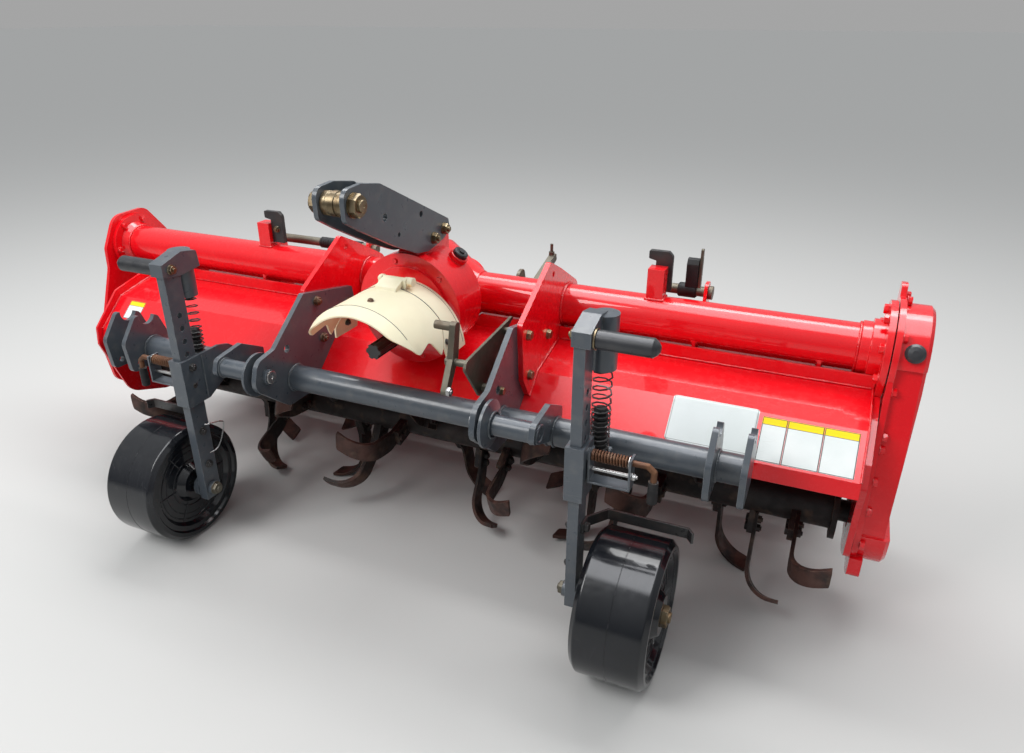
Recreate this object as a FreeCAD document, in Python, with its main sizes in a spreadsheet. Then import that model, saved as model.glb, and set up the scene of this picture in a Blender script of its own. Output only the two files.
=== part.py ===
import FreeCAD, Part
import math
import os

# Rotary tiller for a tractor's three-point linkage, in millimetres.
# While it is drawn, X = 0 is the middle of the hitch, Y = 0 lies just behind the frame tube,
# -Y is the tractor's side, and Z = 0 is the floor it is parked on. At the end every piece is
# shifted by shift_x and shift_y, so that the origin is below the middle of the whole machine.

V = FreeCAD.Vector
doc = FreeCAD.newDocument("rotary_tiller")
sheet = doc.addObject("Spreadsheet::Sheet", "sizes")

sizes_table = (
    # width: the hood's two ends, and what stands outside them
    ("hood_left", -1000), ("hood_right", 978), ("left_overhang", 120), ("side_gap", 1),
    ("side_thickness_right", 13), ("case_gap", 2), ("case_width", 67), ("rotor_gap_left", 24),
    ("rotor_gap_right", 20), ("tube_left_end", "=hood_left - left_overhang"),
    ("tube_right_end", "=hood_right + side_gap + side_thickness_right"),
    ("case_inner", "=tube_right_end + case_gap"), ("case_outer", "=case_inner + case_width"),
    ("rotor_left", "=hood_left + rotor_gap_left"), ("rotor_right", "=hood_right - rotor_gap_right"),
    # frame tube, gearbox and drive line
    ("tube_y", -12), ("tube_z", 585), ("tube_radius", 50.8), ("gear_z", 619),
    ("gear_radius", 128), ("gear_front", -280),
    ("gear_back", -140), ("gear_boss_radius", 100), ("housing_radius", 120), ("housing_left", -222),
    ("housing_right", 58), ("housing_middle", -51), ("collar_radius", 53), ("shaft_z", 575),
    ("shaft_radius", 17.4), ("shaft_tip", -426),
    ("journal_radius", 25), ("journal_depth", 40), ("plug_radius", 17), ("plug_height", 10),
    # hitch
    ("arm_inner", 260), ("arm_thickness", 12), ("hitch_plate_thickness", 12),
    ("pin_y", -465), ("pin_z", 486), ("pin_radius", 18), ("pin_boss_radius", 21.35),
    ("pin_disc_x", 296), ("pin_disc_radius", 50), ("pin_disc_thickness", 12),
    ("pin_plate_x", 381), ("pin_plate_thickness", 12), ("mast_half_gap", 25),
    ("mast_thickness", 10), ("link_pin_y", -500), ("link_pin_z", 903), ("link_pin_radius", 12.7),
    ("bush_radius", 22), ("mast_hole_y", -398), ("mast_hole_z", 858), ("mast_hole_radius", 8),
    ("washer_radius", 19), ("washer_width", 14),
    # grey cross tube and its end plates
    ("cross_y", -370), ("cross_z", 443), ("cross_radius", 30.25), ("end_plate_outer", 783),
    ("end_plate_gap", 51), ("end_plate_thickness", 12), ("weld_gap", 0.3),
    ("stay_hole_y", -422), ("stay_hole_z", 420), ("stay_hole_radius", 7),
    # gauge legs and wheels
    ("leg_x", 481.5), ("leg_width", 22), ("leg_depth", 46), ("leg_front", -507),
    ("leg_bottom", 124), ("leg_top", 729), ("leg_hole_radius", 7), ("leg_hole_pitch", 31.7),
    ("sleeve_wall", 7), ("sleeve_gap", 0.6), ("sleeve_bottom", 385), ("sleeve_top", 501),
    ("spring_x", 502), ("spring_y", -424), ("spring_radius", 18.5), ("spring_wire", 1.8),
    ("spring_bottom", 454), ("spring_top", 690), ("cup_radius", 25), ("cup_bottom", 631),
    ("boot_top", 548),
    ("boot_radius", 15), ("grip_radius", 17.5), ("grip_y", -487), ("grip_z", 712),
    ("grip_end", 618), ("wheel_x", 594), ("wheel_y", -485), ("wheel_radius", 149.5),
    ("wheel_width", 147), ("axle_radius", 12), ("axle_head_width", 9), ("axle_head_radius", 17),
    ("axle_flange_width", 14), ("axle_flange_radius", 27), ("axle_nut_width", 10),
    ("axle_nut_radius", 19), ("running_gap", 0.05), ("lock_pin_z", 479),
    ("lock_pin_y", -484), ("lock_pin_radius", 6),
    # rotor
    ("rotor_y", -100), ("rotor_z", 235), ("rotor_radius", 232), ("rotor_tube_radius", 45),
    ("tine_count", 44), ("tine_pitch", 43.2),
    ("tine_thickness", 8), ("tine_width", 42), ("tine_bend", 56), ("tine_reach", 82),
    ("tine_sweep", 40),
    ("holder_radius", 92), ("holder_thickness", 12), ("stub_radius", 24), ("tine_turn", 157),
    # hood, side plates and chain case
    ("hood_thickness", 4), ("side_thickness", 10),
    ("end_wall_thickness", 6), ("band_y", -66), ("band_height", 31), ("band_thickness", 3),
    ("case_seam", 12), ("case_rim", 12), ("case_top_radius", 92), ("case_bottom_radius", 86),
    ("case_head_radius", 104), ("case_crease", 4), ("case_chamfer", 7), ("case_lean", 11),
    ("case_foot_radius", 92), ("case_plug_turn", 158), ("flange_radius", 106),
    ("flange_thickness", 13),
    ("post_right_x", 497), ("post_left_x", -601), ("post_half", 19), ("post_half_depth", 18),
    ("post_foot", 40), ("post_height", 118), ("hook_width", 38), ("hook_foot", 60),
    # rods on the hood's rear slope
    ("rear_rod_y", 80), ("rear_rod_z", 629), ("rear_rod_radius", 12), ("rear_sleeve_radius", 17),
    # rear cover and levelling board
    ("cover_radius", 300), ("cover_thickness", 4), ("cover_top_angle", 33),
    ("cover_bottom_angle", -15), ("knuckle_radius", 12), ("hinge_pin_radius", 7),
    ("board_length", 190), ("board_thickness", 5), ("board_lip_radius", 6), ("board_angle", -46),
    # guard over the input shaft
    ("guard_z", 550), ("guard_radius", 143), ("guard_seam", -340), ("guard_front", -498),
    ("guard_thickness", 4), ("guard_low", 560), ("guard_lip", 27), ("guard_lip_drop", 13),
    ("guard_hinge_y", -326), ("guard_hinge_z", 704),
    # what holds the origin below the middle
    ("shift_x", 42.5), ("shift_y", 150),
)
for row, (alias, value) in enumerate(sizes_table, start=1):
    sheet.set("A%d" % row, alias)
    sheet.set("B%d" % row, str(value))
    sheet.setAlias("B%d" % row, alias)
doc.recompute()


class Sizes:
    def __getattr__(self, alias):
        return float(sheet.get(alias))


s = Sizes()
rotor_axis = (s.rotor_y, s.rotor_z)
tube_axis = (s.tube_y, s.tube_z)
pieces = []


# Outlines: points are (a, b) or (a, b, corner radius), joined in order.
def outline_edges(points):
    starts, edges = [], []
    count = len(points)
    for i, point in enumerate(points):
        here = V(point[0], point[1], 0)
        radius = point[2] if len(point) > 2 else 0
        before = (V(*points[i - 1][:2], 0) - here).normalize()
        after = (V(*points[(i + 1) % count][:2], 0) - here).normalize()
        if radius == 0:
            starts.append((here, here, None))
            continue
        half = before.getAngle(after) / 2
        setback = radius / math.tan(half)
        middle = here + (before + after).normalize() * (radius / math.sin(half) - radius)
        starts.append((here + before * setback, here + after * setback, middle))
    for i, (entry, leave, middle) in enumerate(starts):
        if middle is not None:
            edges.append(Part.Arc(entry, middle, leave))
        following = starts[(i + 1) % count][0]
        if (following - leave).Length > 1e-6:
            edges.append(Part.LineSegment(leave, following))
    return edges


def flat_face(points):
    return Part.Face(Part.Wire([edge.toShape() for edge in outline_edges(points)]))


# A plate whose outline is drawn in (y, z), from x0 to x1.
def slab_x(points, x0, x1):
    face = flat_face(points)
    face.transformShape(FreeCAD.Matrix(0, 0, 1, x0, 1, 0, 0, 0, 0, 1, 0, 0, 0, 0, 0, 1))
    return face.extrude(V(x1 - x0, 0, 0))


# A plate whose outline is drawn in (x, z), from y0 to y1.
def slab_y(points, y0, y1):
    face = flat_face(points)
    face.transformShape(FreeCAD.Matrix(1, 0, 0, 0, 0, 0, -1, y0, 0, 1, 0, 0, 0, 0, 0, 1))
    return face.extrude(V(0, y1 - y0, 0))


# A plate whose outline is drawn in (x, y), from z0 to z1.
def slab_z(points, z0, z1):
    face = flat_face(points)
    face.translate(V(0, 0, z0))
    return face.extrude(V(0, 0, z1 - z0))


def box(x0, x1, y0, y1, z0, z1):
    return Part.makeBox(x1 - x0, y1 - y0, z1 - z0, V(x0, y0, z0))


def rod(start, end, radius):
    along = V(*end) - V(*start)
    return Part.makeCylinder(radius, along.Length, V(*start), along)


# A turned piece: stations are (distance along the axis, radius).
def turned(origin, direction, stations):
    points = [(stations[0][0], 0)] + list(stations) + [(stations[-1][0], 0)]
    face = flat_face(points)
    solid = face.revolve(V(0, 0, 0), V(1, 0, 0), 360)
    solid.Placement = FreeCAD.Placement(V(*origin), FreeCAD.Rotation(V(1, 0, 0), V(*direction)))
    return solid


# A bent sheet in (y, z): the middle points are given, and thickness lies to the left of the path.
def sheet_outline(points, thickness):
    count = len(points)
    normals = []
    for a, b in zip(points, points[1:]):
        along = V(b[0] - a[0], b[1] - a[1], 0).normalize()
        normals.append(V(-along.y, along.x, 0))
    far = []
    for i, (y, height) in enumerate(points):
        first = normals[max(i - 1, 0)]
        second = normals[min(i, count - 2)]
        mitre = (first + second) * (thickness / (1 + first.dot(second)))
        far.append((y + mitre.x, height + mitre.y))
    return list(points) + far[::-1]


def mirrored(shape):
    return shape.mirror(V(0, 0, 0), V(1, 0, 0))


def side_of(shape, side):
    return shape if side > 0 else mirrored(shape)


def fuse(shapes):
    return shapes[0].fuse(shapes[1:]).removeSplitter()


def cut(shape, tools):
    for tool in tools:
        shape = shape.cut(tool)
    return shape.removeSplitter()


# A node of one or more solids, set at its place in the finished machine.
def add(label, shapes):
    piece = doc.addObject("Part::Feature", label)
    solids = [solid for shape in shapes for solid in shape.Solids]
    piece.Shape = solids[0] if len(solids) == 1 else Part.makeCompound(solids)
    shift = FreeCAD.Placement(V(s.shift_x, s.shift_y, 0), FreeCAD.Rotation())
    piece.Placement = shift.multiply(piece.Shape.Placement)
    pieces.append(piece)


def origin_plane(body, role):
    return [feature for feature in body.Origin.OriginFeatures if feature.Role == role][0]


# A pair of plates, one each side of the hitch, as a padded sketch and its mirror.
def plate_pair(label, points, holes, start, thickness):
    body = doc.addObject("PartDesign::Body", label)
    sketch = body.newObject("Sketcher::SketchObject", label + "_outline")
    sketch.AttachmentSupport = [(origin_plane(body, "YZ_Plane"), "")]
    sketch.MapMode = "FlatFace"
    for edge in outline_edges(points):
        sketch.addGeometry(edge, False)
    for y, height, radius in holes:
        sketch.addGeometry(Part.Circle(V(y, height, 0), V(0, 0, 1), radius), False)
    sketch.setExpression("AttachmentOffset.Base.z", start)
    pad = body.newObject("PartDesign::Pad", label + "_pad")
    pad.Profile = sketch
    pad.setExpression("Length", thickness)
    doc.recompute()
    mirror = body.newObject("PartDesign::Mirrored", label + "_mirror")
    mirror.Originals = [pad]
    mirror.MirrorPlane = (origin_plane(body, "YZ_Plane"), [""])
    body.Tip = mirror
    body.setExpression("Placement.Base.x", "sizes.shift_x")
    body.setExpression("Placement.Base.y", "sizes.shift_y")
    pieces.append(body)


# A round bar along X, between two distances from the hitch's middle, on the given side
def bound_bar(label, inner, outer, y, height, radius, side=1):
    bar = doc.addObject("Part::Cylinder", label)
    bar.Placement = FreeCAD.Placement(V(0, 0, 0), FreeCAD.Rotation(V(0, 1, 0), 90))
    start = inner if side > 0 else "-(" + outer + ")"
    bar.setExpression("Placement.Base.x", "sizes.shift_x + " + start)
    bar.setExpression("Placement.Base.y", "sizes.shift_y + " + y)
    bar.setExpression("Placement.Base.z", height)
    bar.setExpression("Radius", radius)
    bar.setExpression("Height", "(" + outer + ") - (" + inner + ")")
    return bar


# A box between two distances from the hitch's middle, on the given side
def bound_box(label, inner, outer, y0, y1, z0, z1, side=1):
    block = doc.addObject("Part::Box", label)
    start = inner if side > 0 else "-(" + outer + ")"
    block.setExpression("Placement.Base.x", "sizes.shift_x + " + start)
    block.setExpression("Placement.Base.y", "sizes.shift_y + " + y0)
    block.setExpression("Placement.Base.z", z0)
    block.setExpression("Length", "(" + outer + ") - (" + inner + ")")
    block.setExpression("Width", "(" + y1 + ") - (" + y0 + ")")
    block.setExpression("Height", "(" + z1 + ") - (" + z0 + ")")
    return block


def bound_fuse(label, members):
    whole = doc.addObject("Part::MultiFuse", label)
    whole.Shapes = members
    whole.Refine = True
    return whole


def bound_cut(label, base, tool):
    whole = doc.addObject("Part::Cut", label)
    whole.Base = base
    whole.Tool = tool
    whole.Refine = True
    return whole


# Frame tube, in two lengths that end in the gearbox, with a stepped collar at each outer end
def frame_tubes():
    left = turned((0, *tube_axis), (1, 0, 0), (
        (s.tube_left_end, 84), (s.tube_left_end + 12, 84), (s.tube_left_end + 12, 62),
        (s.tube_left_end + 30, s.tube_radius), (s.housing_left, s.tube_radius)))
    end = s.tube_right_end
    right = turned((0, *tube_axis), (1, 0, 0), (
        (s.housing_right, s.tube_radius), (end - 58, s.tube_radius), (end - 56, 57),
        (end - 38, 57), (end - 36, 64), (end - s.flange_thickness, 64),
        (end - s.flange_thickness, s.flange_radius), (end, s.flange_radius)))
    bolts = []
    for i in range(8):
        turn = math.radians(45 * i + 22.5)
        y = s.tube_y + 86 * math.cos(turn)
        height = s.tube_z + 86 * math.sin(turn)
        bolts.append(rod((end - s.flange_thickness - 9, y, height),
                         (end - s.flange_thickness, y, height), 8))
    add("frame_tube_left", [left])
    add("frame_tube_right", [fuse([right] + bolts)])


# Gearbox: a round nose for the input shaft, and a housing round the frame tube's axis
def gearbox():
    nose = turned((0, 0, s.gear_z), (0, 1, 0), (
        (s.gear_front, s.gear_boss_radius), (s.gear_front + 8, s.gear_boss_radius),
        (s.gear_front + 8, s.gear_radius), (s.gear_front + 34, s.gear_radius),
        (s.gear_front + 40, s.gear_radius - 7), (s.gear_back - 10, s.gear_radius - 7),
        (s.gear_back, s.gear_radius - 14)))
    housing = turned((0, *tube_axis), (1, 0, 0), (
        (s.housing_left, s.collar_radius), (s.housing_left + 17, s.collar_radius + 7),
        (s.housing_left + 92, s.housing_radius - 10), (s.housing_middle, s.housing_radius),
        (s.housing_right - 18, s.collar_radius + 9), (s.housing_right, s.collar_radius)))
    neck = turned((0, 0, s.gear_z - 12), (0, 1, 0), (
        (s.gear_back - 1, 96), (s.tube_y - s.tube_radius, 56), (s.tube_y + 40, 50)))
    lug_half = s.mast_half_gap - s.weld_gap
    lug = slab_x([(-268, 700), (-262, 748), (-225, 775, 8), (-160, 792, 8), (-120, 775, 8),
                  (-118, 690)], -lug_half, lug_half)
    boss = plug_frame(s.gear_radius - 22, s.gear_radius + 2, s.plug_radius + 5)
    body = fuse([nose, housing, neck, lug, boss])
    bore = rod((0, s.gear_front - 1, s.shaft_z),
               (0, s.gear_front + s.journal_depth, s.shaft_z), s.journal_radius + s.running_gap)
    add("gearbox", [cut(body, [bore])])


# A short round piece that points out of the nose's upper right, where the oil plug is
def plug_frame(inner, outer, radius):
    lean = math.radians(36)
    out = V(math.sin(lean), 0, math.cos(lean))
    centre = V(0, s.gear_back - 28, s.gear_z)
    return rod(tuple(centre + out * inner), tuple(centre + out * outer), radius)


def oil_plugs():
    gear_plug = plug_frame(s.gear_radius + 2, s.gear_radius + 2 + s.plug_height, s.plug_radius)
    case_x = (s.case_inner + s.case_outer) / 2 + 5
    turn = math.radians(s.case_plug_turn)
    case_plug = turned((case_x, *tube_axis), (0, math.cos(turn), math.sin(turn)), (
        (s.case_head_radius + 0.2, s.plug_radius + 2), (s.case_head_radius + 6, s.plug_radius + 2),
        (s.case_head_radius + 11, s.plug_radius - 3), (s.case_head_radius + 13, 6)))
    add("oil_plugs", [gear_plug, case_plug])


# Splined input shaft with its journal in the gearbox
def input_shaft():
    depth = s.gear_front + s.journal_depth - 0.5
    journal = rod((0, depth, s.shaft_z), (0, s.gear_front - 14, s.shaft_z), s.journal_radius)
    shank = rod((0, s.gear_front - 14, s.shaft_z), (0, s.shaft_tip, s.shaft_z), s.shaft_radius)
    spline = []
    for i in range(6):
        groove = box(-4.4, 4.4, s.shaft_tip - 1, s.shaft_tip + 76,
                     s.shaft_z + s.shaft_radius - 3, s.shaft_z + s.shaft_radius + 4)
        groove.rotate(V(0, 0, s.shaft_z), V(0, 1, 0), 60 * i)
        spline.append(groove)
    add("input_shaft", [cut(fuse([journal, shank]), spline)])


# Cream guard over the input shaft: a fixed arch against the gearbox's face, and a lid hinged
# to its top, whose front edge droops and whose lower edges are waved
def shaft_guard():
    inner = s.guard_radius - s.guard_thickness
    centre = (0, 0, s.guard_z)
    hinge = (s.guard_hinge_y, s.guard_hinge_z)
    crown = s.guard_z + s.guard_radius
    reach = s.guard_radius + 20
    tube = turned(centre, (0, 1, 0), ((s.guard_front, s.guard_radius),
                                      (s.gear_front, s.guard_radius)))
    hollow = turned(centre, (0, 1, 0), ((s.guard_front - 1, inner), (s.gear_front + 1, inner)))
    arch_side = slab_x([(s.gear_front, crown + 5), (s.gear_front, s.guard_low),
                        (s.guard_seam - 22, s.guard_low), (s.guard_seam - 27, s.guard_low + 26, 10),
                        (s.guard_seam, s.guard_low + 70, 30), (s.guard_seam, crown + 5)],
                       -reach, reach)
    ears = []
    for x in (-34, 26):
        ears.append(slab_x([(s.guard_seam + 3, crown - 3), (hinge[0] - 9, hinge[1] + 8, 6),
                            (hinge[0] + 9, hinge[1] + 8, 6), (hinge[0] + 18, crown - 3)], x, x + 8))
    pin_hole = rod((-60, *hinge), (60, *hinge), 5 + s.running_gap)
    base = cut(tube.common(arch_side), [hollow])
    add("guard_base", [cut(fuse([base] + ears), [pin_hole])])
    lip = s.guard_front + s.guard_lip
    shell = turned(centre, (0, 1, 0), (
        (s.guard_front, s.guard_radius - s.guard_lip_drop), (lip, s.guard_radius),
        (s.guard_seam, s.guard_radius)))
    void = turned(centre, (0, 1, 0), (
        (s.guard_front - 1, inner - s.guard_lip_drop), (lip, inner), (s.guard_seam + 1, inner)))
    seam = s.guard_seam - 1
    lid_side = slab_x([(seam, crown + 5), (seam, s.guard_low + 74, 30),
                       (s.guard_seam - 31, s.guard_low + 26, 6), (s.guard_seam - 42, s.guard_low + 16),
                       (s.guard_seam - 70, s.guard_low + 54, 16), (s.guard_seam - 118, s.guard_low + 42, 12),
                       (s.guard_front + 2, s.guard_low + 84, 20), (s.guard_front - 1, crown + 5)],
                      -reach, reach)
    lid = shell.cut(void).common(lid_side)
    knuckle = rod((-25.6, *hinge), (25.6, *hinge), 8)
    strap = slab_x([(seam - 24, crown - 3), (seam - 20, crown + 5), (hinge[0] - 2, hinge[1] + 7),
                    (hinge[0] - 2, hinge[1] - 3), (seam - 6, crown - 3)], -25.6, 25.6)
    stub = rod((-38, *hinge), (44, *hinge), 5)
    knob = rod((36, *hinge), (48, *hinge), 10)
    add("shaft_guard", [fuse([lid, strap, knuckle, stub, knob])])


# Mast: two plates with a folded top, bolted to the gearbox's lug, and the top link pin
def mast():
    outer = s.mast_half_gap + s.mast_thickness
    outline = [(-481, 850, 12), (-527, 876, 14), (-530, 934, 22), (-470, 937, 10), (-407, 926),
               (-137, 798, 6), (-131, 770, 6), (-165, 757, 8), (-232, 746), (-279, 754),
               (-363, 790, 12)]
    plates = [slab_x(outline, s.mast_half_gap, outer), slab_x(outline, -outer, -s.mast_half_gap)]
    top = slab_x([(-404, 923.4), (-140, 798.2), (-143.4, 791), (-407.4, 916.2)],
                 -s.mast_half_gap, s.mast_half_gap)
    holes = []
    for y, height, radius in ((s.mast_hole_y, s.mast_hole_z, s.mast_hole_radius),
                              (-258, 834, 7), (-350, 812, 5),
                              (s.link_pin_y, s.link_pin_z, s.link_pin_radius + 0.1)):
        holes.append(rod((-80, y, height), (80, y, height), radius))
    bolts = []
    for y, height in ((-208, 770), (-160, 780)):
        bolts.append(rod((outer, y, height), (outer + 9, y, height), 9))
        bolts.append(rod((-outer - 9, y, height), (-outer, y, height), 9))
    add("mast", [cut(fuse(plates + [top] + bolts), holes)])
    spot = ("sizes.link_pin_y", "sizes.link_pin_z")
    plates = "sizes.mast_half_gap + sizes.mast_thickness"
    ends = plates + " + sizes.washer_width"
    bush = "sizes.mast_half_gap - sizes.weld_gap"
    pieces.append(bound_fuse("top_link_pin", [
        bound_bar("link_pin_shank", "-(" + ends + ")", ends, *spot, "sizes.link_pin_radius"),
        bound_bar("link_pin_bush", "-(" + bush + ")", bush, *spot, "sizes.bush_radius"),
        bound_bar("link_pin_washer_right", plates, ends, *spot, "sizes.washer_radius"),
        bound_bar("link_pin_washer_left", plates, ends, *spot, "sizes.washer_radius", -1)]))


# Red plates on the frame tube, and the grey arms bolted inside them
def hitch():
    plate_points = [(-128, 722, 10), (-62, 690, 10), (62, 622, 34), (62, 532), (-66, 518),
                    (-203, 489), (-250, 447, 6), (-283, 499, 8), (-293, 631, 16)]
    plate_holes = [(s.tube_y, s.tube_z, s.tube_radius + s.weld_gap), (-112, 690, 7)]
    plate_pair("hitch_plates", plate_points, plate_holes,
               "sizes.arm_inner + sizes.arm_thickness", "sizes.hitch_plate_thickness")
    arm_points = [(-120, 592, 6), (-108, 530, 10), (-180, 500), (-203, 489), (-300, 404), (-312, 384, 6),
                  (-405, 384, 30), (-510, 470, 30), (-490, 528, 30), (-430, 538), (-311, 631, 8)]
    arm_holes = [(s.cross_y, s.cross_z, s.cross_radius + s.weld_gap),
                 (s.pin_y, s.pin_z, s.pin_radius + s.weld_gap), (-391, 524, 9)]
    plate_pair("hitch_arms", arm_points, arm_holes, "sizes.arm_inner", "sizes.arm_thickness")


# Lower hitch pins: a shank through the arm, a dished disc, a thick boss and an end plate
def lower_hitch_pins():
    disc = s.pin_disc_x
    plate = s.pin_plate_x
    shape = turned((0, s.pin_y, s.pin_z), (1, 0, 0), (
        (s.arm_inner - 10, s.pin_radius), (disc - s.pin_disc_thickness, s.pin_radius),
        (disc - s.pin_disc_thickness, s.pin_disc_radius), (disc - 6, s.pin_disc_radius),
        (disc, s.pin_boss_radius + 6), (disc, s.pin_boss_radius), (plate, s.pin_boss_radius)))
    tip = [(-496, 477, 12), (-484, 512, 14), (-404, 522, 8), (-334, 486, 8), (-334, 466),
           (-352, 416, 6), (-440, 452)]
    end = slab_x(tip, plate, plate + s.pin_plate_thickness)
    end = end.cut(rod((plate - 5, s.cross_y, s.cross_z), (plate + 30, s.cross_y, s.cross_z),
                      s.cross_radius + s.weld_gap))
    right = fuse([shape, end])
    add("lower_hitch_pins", [right, mirrored(right)])


# Grey cross tube, and the notched double plates at its ends
def cross_tube():
    end = s.end_plate_outer
    pieces.append(bound_bar("cross_tube", "-sizes.end_plate_outer", "sizes.end_plate_outer",
                            "sizes.cross_y", "sizes.cross_z", "sizes.cross_radius"))
    tube = rod((-900, s.cross_y, s.cross_z), (900, s.cross_y, s.cross_z),
               s.cross_radius + s.weld_gap)
    notch = rod((-900, -374, 534), (900, -374, 534), 24)
    hole = (s.stay_hole_y, s.stay_hole_z)
    pin_hole = rod((-900, *hole), (900, *hole), s.stay_hole_radius)
    outline = [(-446, 402, 14), (-454, 482, 20), (-408, 540, 12), (-374, 536), (-340, 522, 18),
               (-316, 462, 16), (-342, 402, 16)]
    plates = []
    for edge in (end, end - s.end_plate_gap - s.end_plate_thickness):
        plate = cut(slab_x(outline, edge - s.end_plate_thickness, edge), [tube, notch, pin_hole])
        plates.append(plate)
    add("end_plates_right", plates)
    add("end_plates_left", [mirrored(plate) for plate in plates])


# Sleeves that the gauge legs slide in, each with a web back to the cross tube
def leg_sleeves():
    back = s.leg_front + s.leg_depth
    half = s.leg_width / 2 + s.sleeve_gap
    wall = s.sleeve_wall
    outer = box(s.leg_x - half - wall, s.leg_x + half + wall, s.leg_front - s.sleeve_gap - wall,
                back + s.sleeve_gap + wall, s.sleeve_bottom, s.sleeve_top)
    inner = box(s.leg_x - half, s.leg_x + half, s.leg_front - s.sleeve_gap, back + s.sleeve_gap,
                s.sleeve_bottom - 1, s.sleeve_top + 1)
    web = slab_x([(back, s.sleeve_bottom), (back, s.sleeve_top), (-395, s.sleeve_top, 20),
                  (-362, 492, 14), (-324, 462, 10), (-350, 432), (-402, 408, 40),
                  (-446, s.sleeve_bottom, 10)], s.leg_x - half - wall, s.leg_x - half)
    seat = box(s.leg_x - half - wall, s.spring_x + s.spring_radius + 2, -446, -401,
               s.spring_bottom - 6, s.spring_bottom)
    tube = rod((0, s.cross_y, s.cross_z), (800, s.cross_y, s.cross_z), s.cross_radius + s.weld_gap)
    bolt = rod((s.leg_x + half + wall - 0.5, s.lock_pin_y, s.lock_pin_z),
               (s.leg_x + half + wall + 3, s.lock_pin_y, s.lock_pin_z), 13)
    hole = rod((s.leg_x, s.lock_pin_y, s.lock_pin_z), (s.leg_x + 60, s.lock_pin_y, s.lock_pin_z),
               s.lock_pin_radius + 0.3)
    right = cut(fuse([outer, web, seat, bolt]), [inner, tube, hole])
    add("leg_sleeves", [right, mirrored(right)])


# Spring-loaded lock pin beside each sleeve, in a bent bracket, with a turned-down handle
def lock_pins():
    face = s.leg_x + s.leg_width / 2 + s.sleeve_gap + s.sleeve_wall + 3.2
    y, height = s.lock_pin_y, s.lock_pin_z
    bracket = cut(box(face, face + 82, y - 15, y + 15, height - 54, height + 11), [
        box(face + 4, face + 78, y - 20, y + 20, height - 50, height + 20),
        rod((face - 5, y, height), (face + 100, y, height), s.lock_pin_radius + 0.3)])
    nose = rod((s.leg_x + s.leg_width / 2 + s.sleeve_gap, y, height), (face + 110, y, height),
               s.lock_pin_radius)
    collar = rod((face + 4.3, y, height), (face + 10, y, height), 11)
    elbow = rod((face + 110, y, height), (face + 122, y, height - 10), s.lock_pin_radius)
    joint = Part.makeSphere(s.lock_pin_radius, V(face + 110, y, height))
    knee = Part.makeSphere(s.lock_pin_radius, V(face + 122, y, height - 10))
    drop = rod((face + 122, y, height - 10), (face + 122, y, height - 72), s.lock_pin_radius)
    sheath = rod((face + 122, y, height - 30), (face + 122, y, height - 76), 9)
    pin = fuse([nose, collar, joint, elbow, knee, drop, sheath])
    add("lock_brackets", [bracket, mirrored(bracket)])
    add("lock_pins", [pin, mirrored(pin)])


# Compression spring of each gauge leg, with a ribbed boot inside its lower half
def leg_springs():
    top = s.spring_top
    pitch_open = 17.5
    open_turns = (top - s.boot_top) / pitch_open
    tight_turns = (s.boot_top - s.spring_bottom) / 10
    points = []
    steps = 8
    total = int((open_turns + tight_turns) * steps)
    height = s.spring_bottom + s.spring_wire
    for i in range(total + 1):
        turn = 2 * math.pi * i / steps
        points.append(V(s.spring_x + s.spring_radius * math.cos(turn),
                        s.spring_y + s.spring_radius * math.sin(turn), height))
        height += (10 if height < s.boot_top else pitch_open) / steps
        if height > top - s.spring_wire:
            break
    wire = Part.makePolygon(points)
    start = points[1] - points[0]
    section = Part.makePolygon(ring(points[0], start, s.spring_wire, 4))
    coil = Part.Wire(wire.Edges).makePipeShell([section], True, False, 2)
    add("leg_springs", [coil, mirrored(coil)])
    stations = []
    ribs = 7
    step = (s.boot_top - s.spring_bottom) / ribs
    for i in range(ribs):
        base = s.spring_bottom + i * step
        stations += [(base, s.boot_radius - 3), (base + step * 0.5, s.boot_radius)]
    stations += [(s.boot_top, s.boot_radius - 4)]
    boot = turned((s.spring_x, s.spring_y, 0), (0, 0, 1), stations)
    add("spring_boots", [boot, mirrored(boot)])


# Points of a closed ring with few corners, square to a direction
def ring(centre, direction, radius, corners):
    axis = V(direction).normalize()
    side = axis.cross(V(0, 0, 1)).normalize()
    up = axis.cross(side)
    loop = []
    for i in range(corners + 1):
        turn = 2 * math.pi * i / corners
        loop.append(centre + side * (radius * math.cos(turn)) + up * (radius * math.sin(turn)))
    return loop


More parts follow.
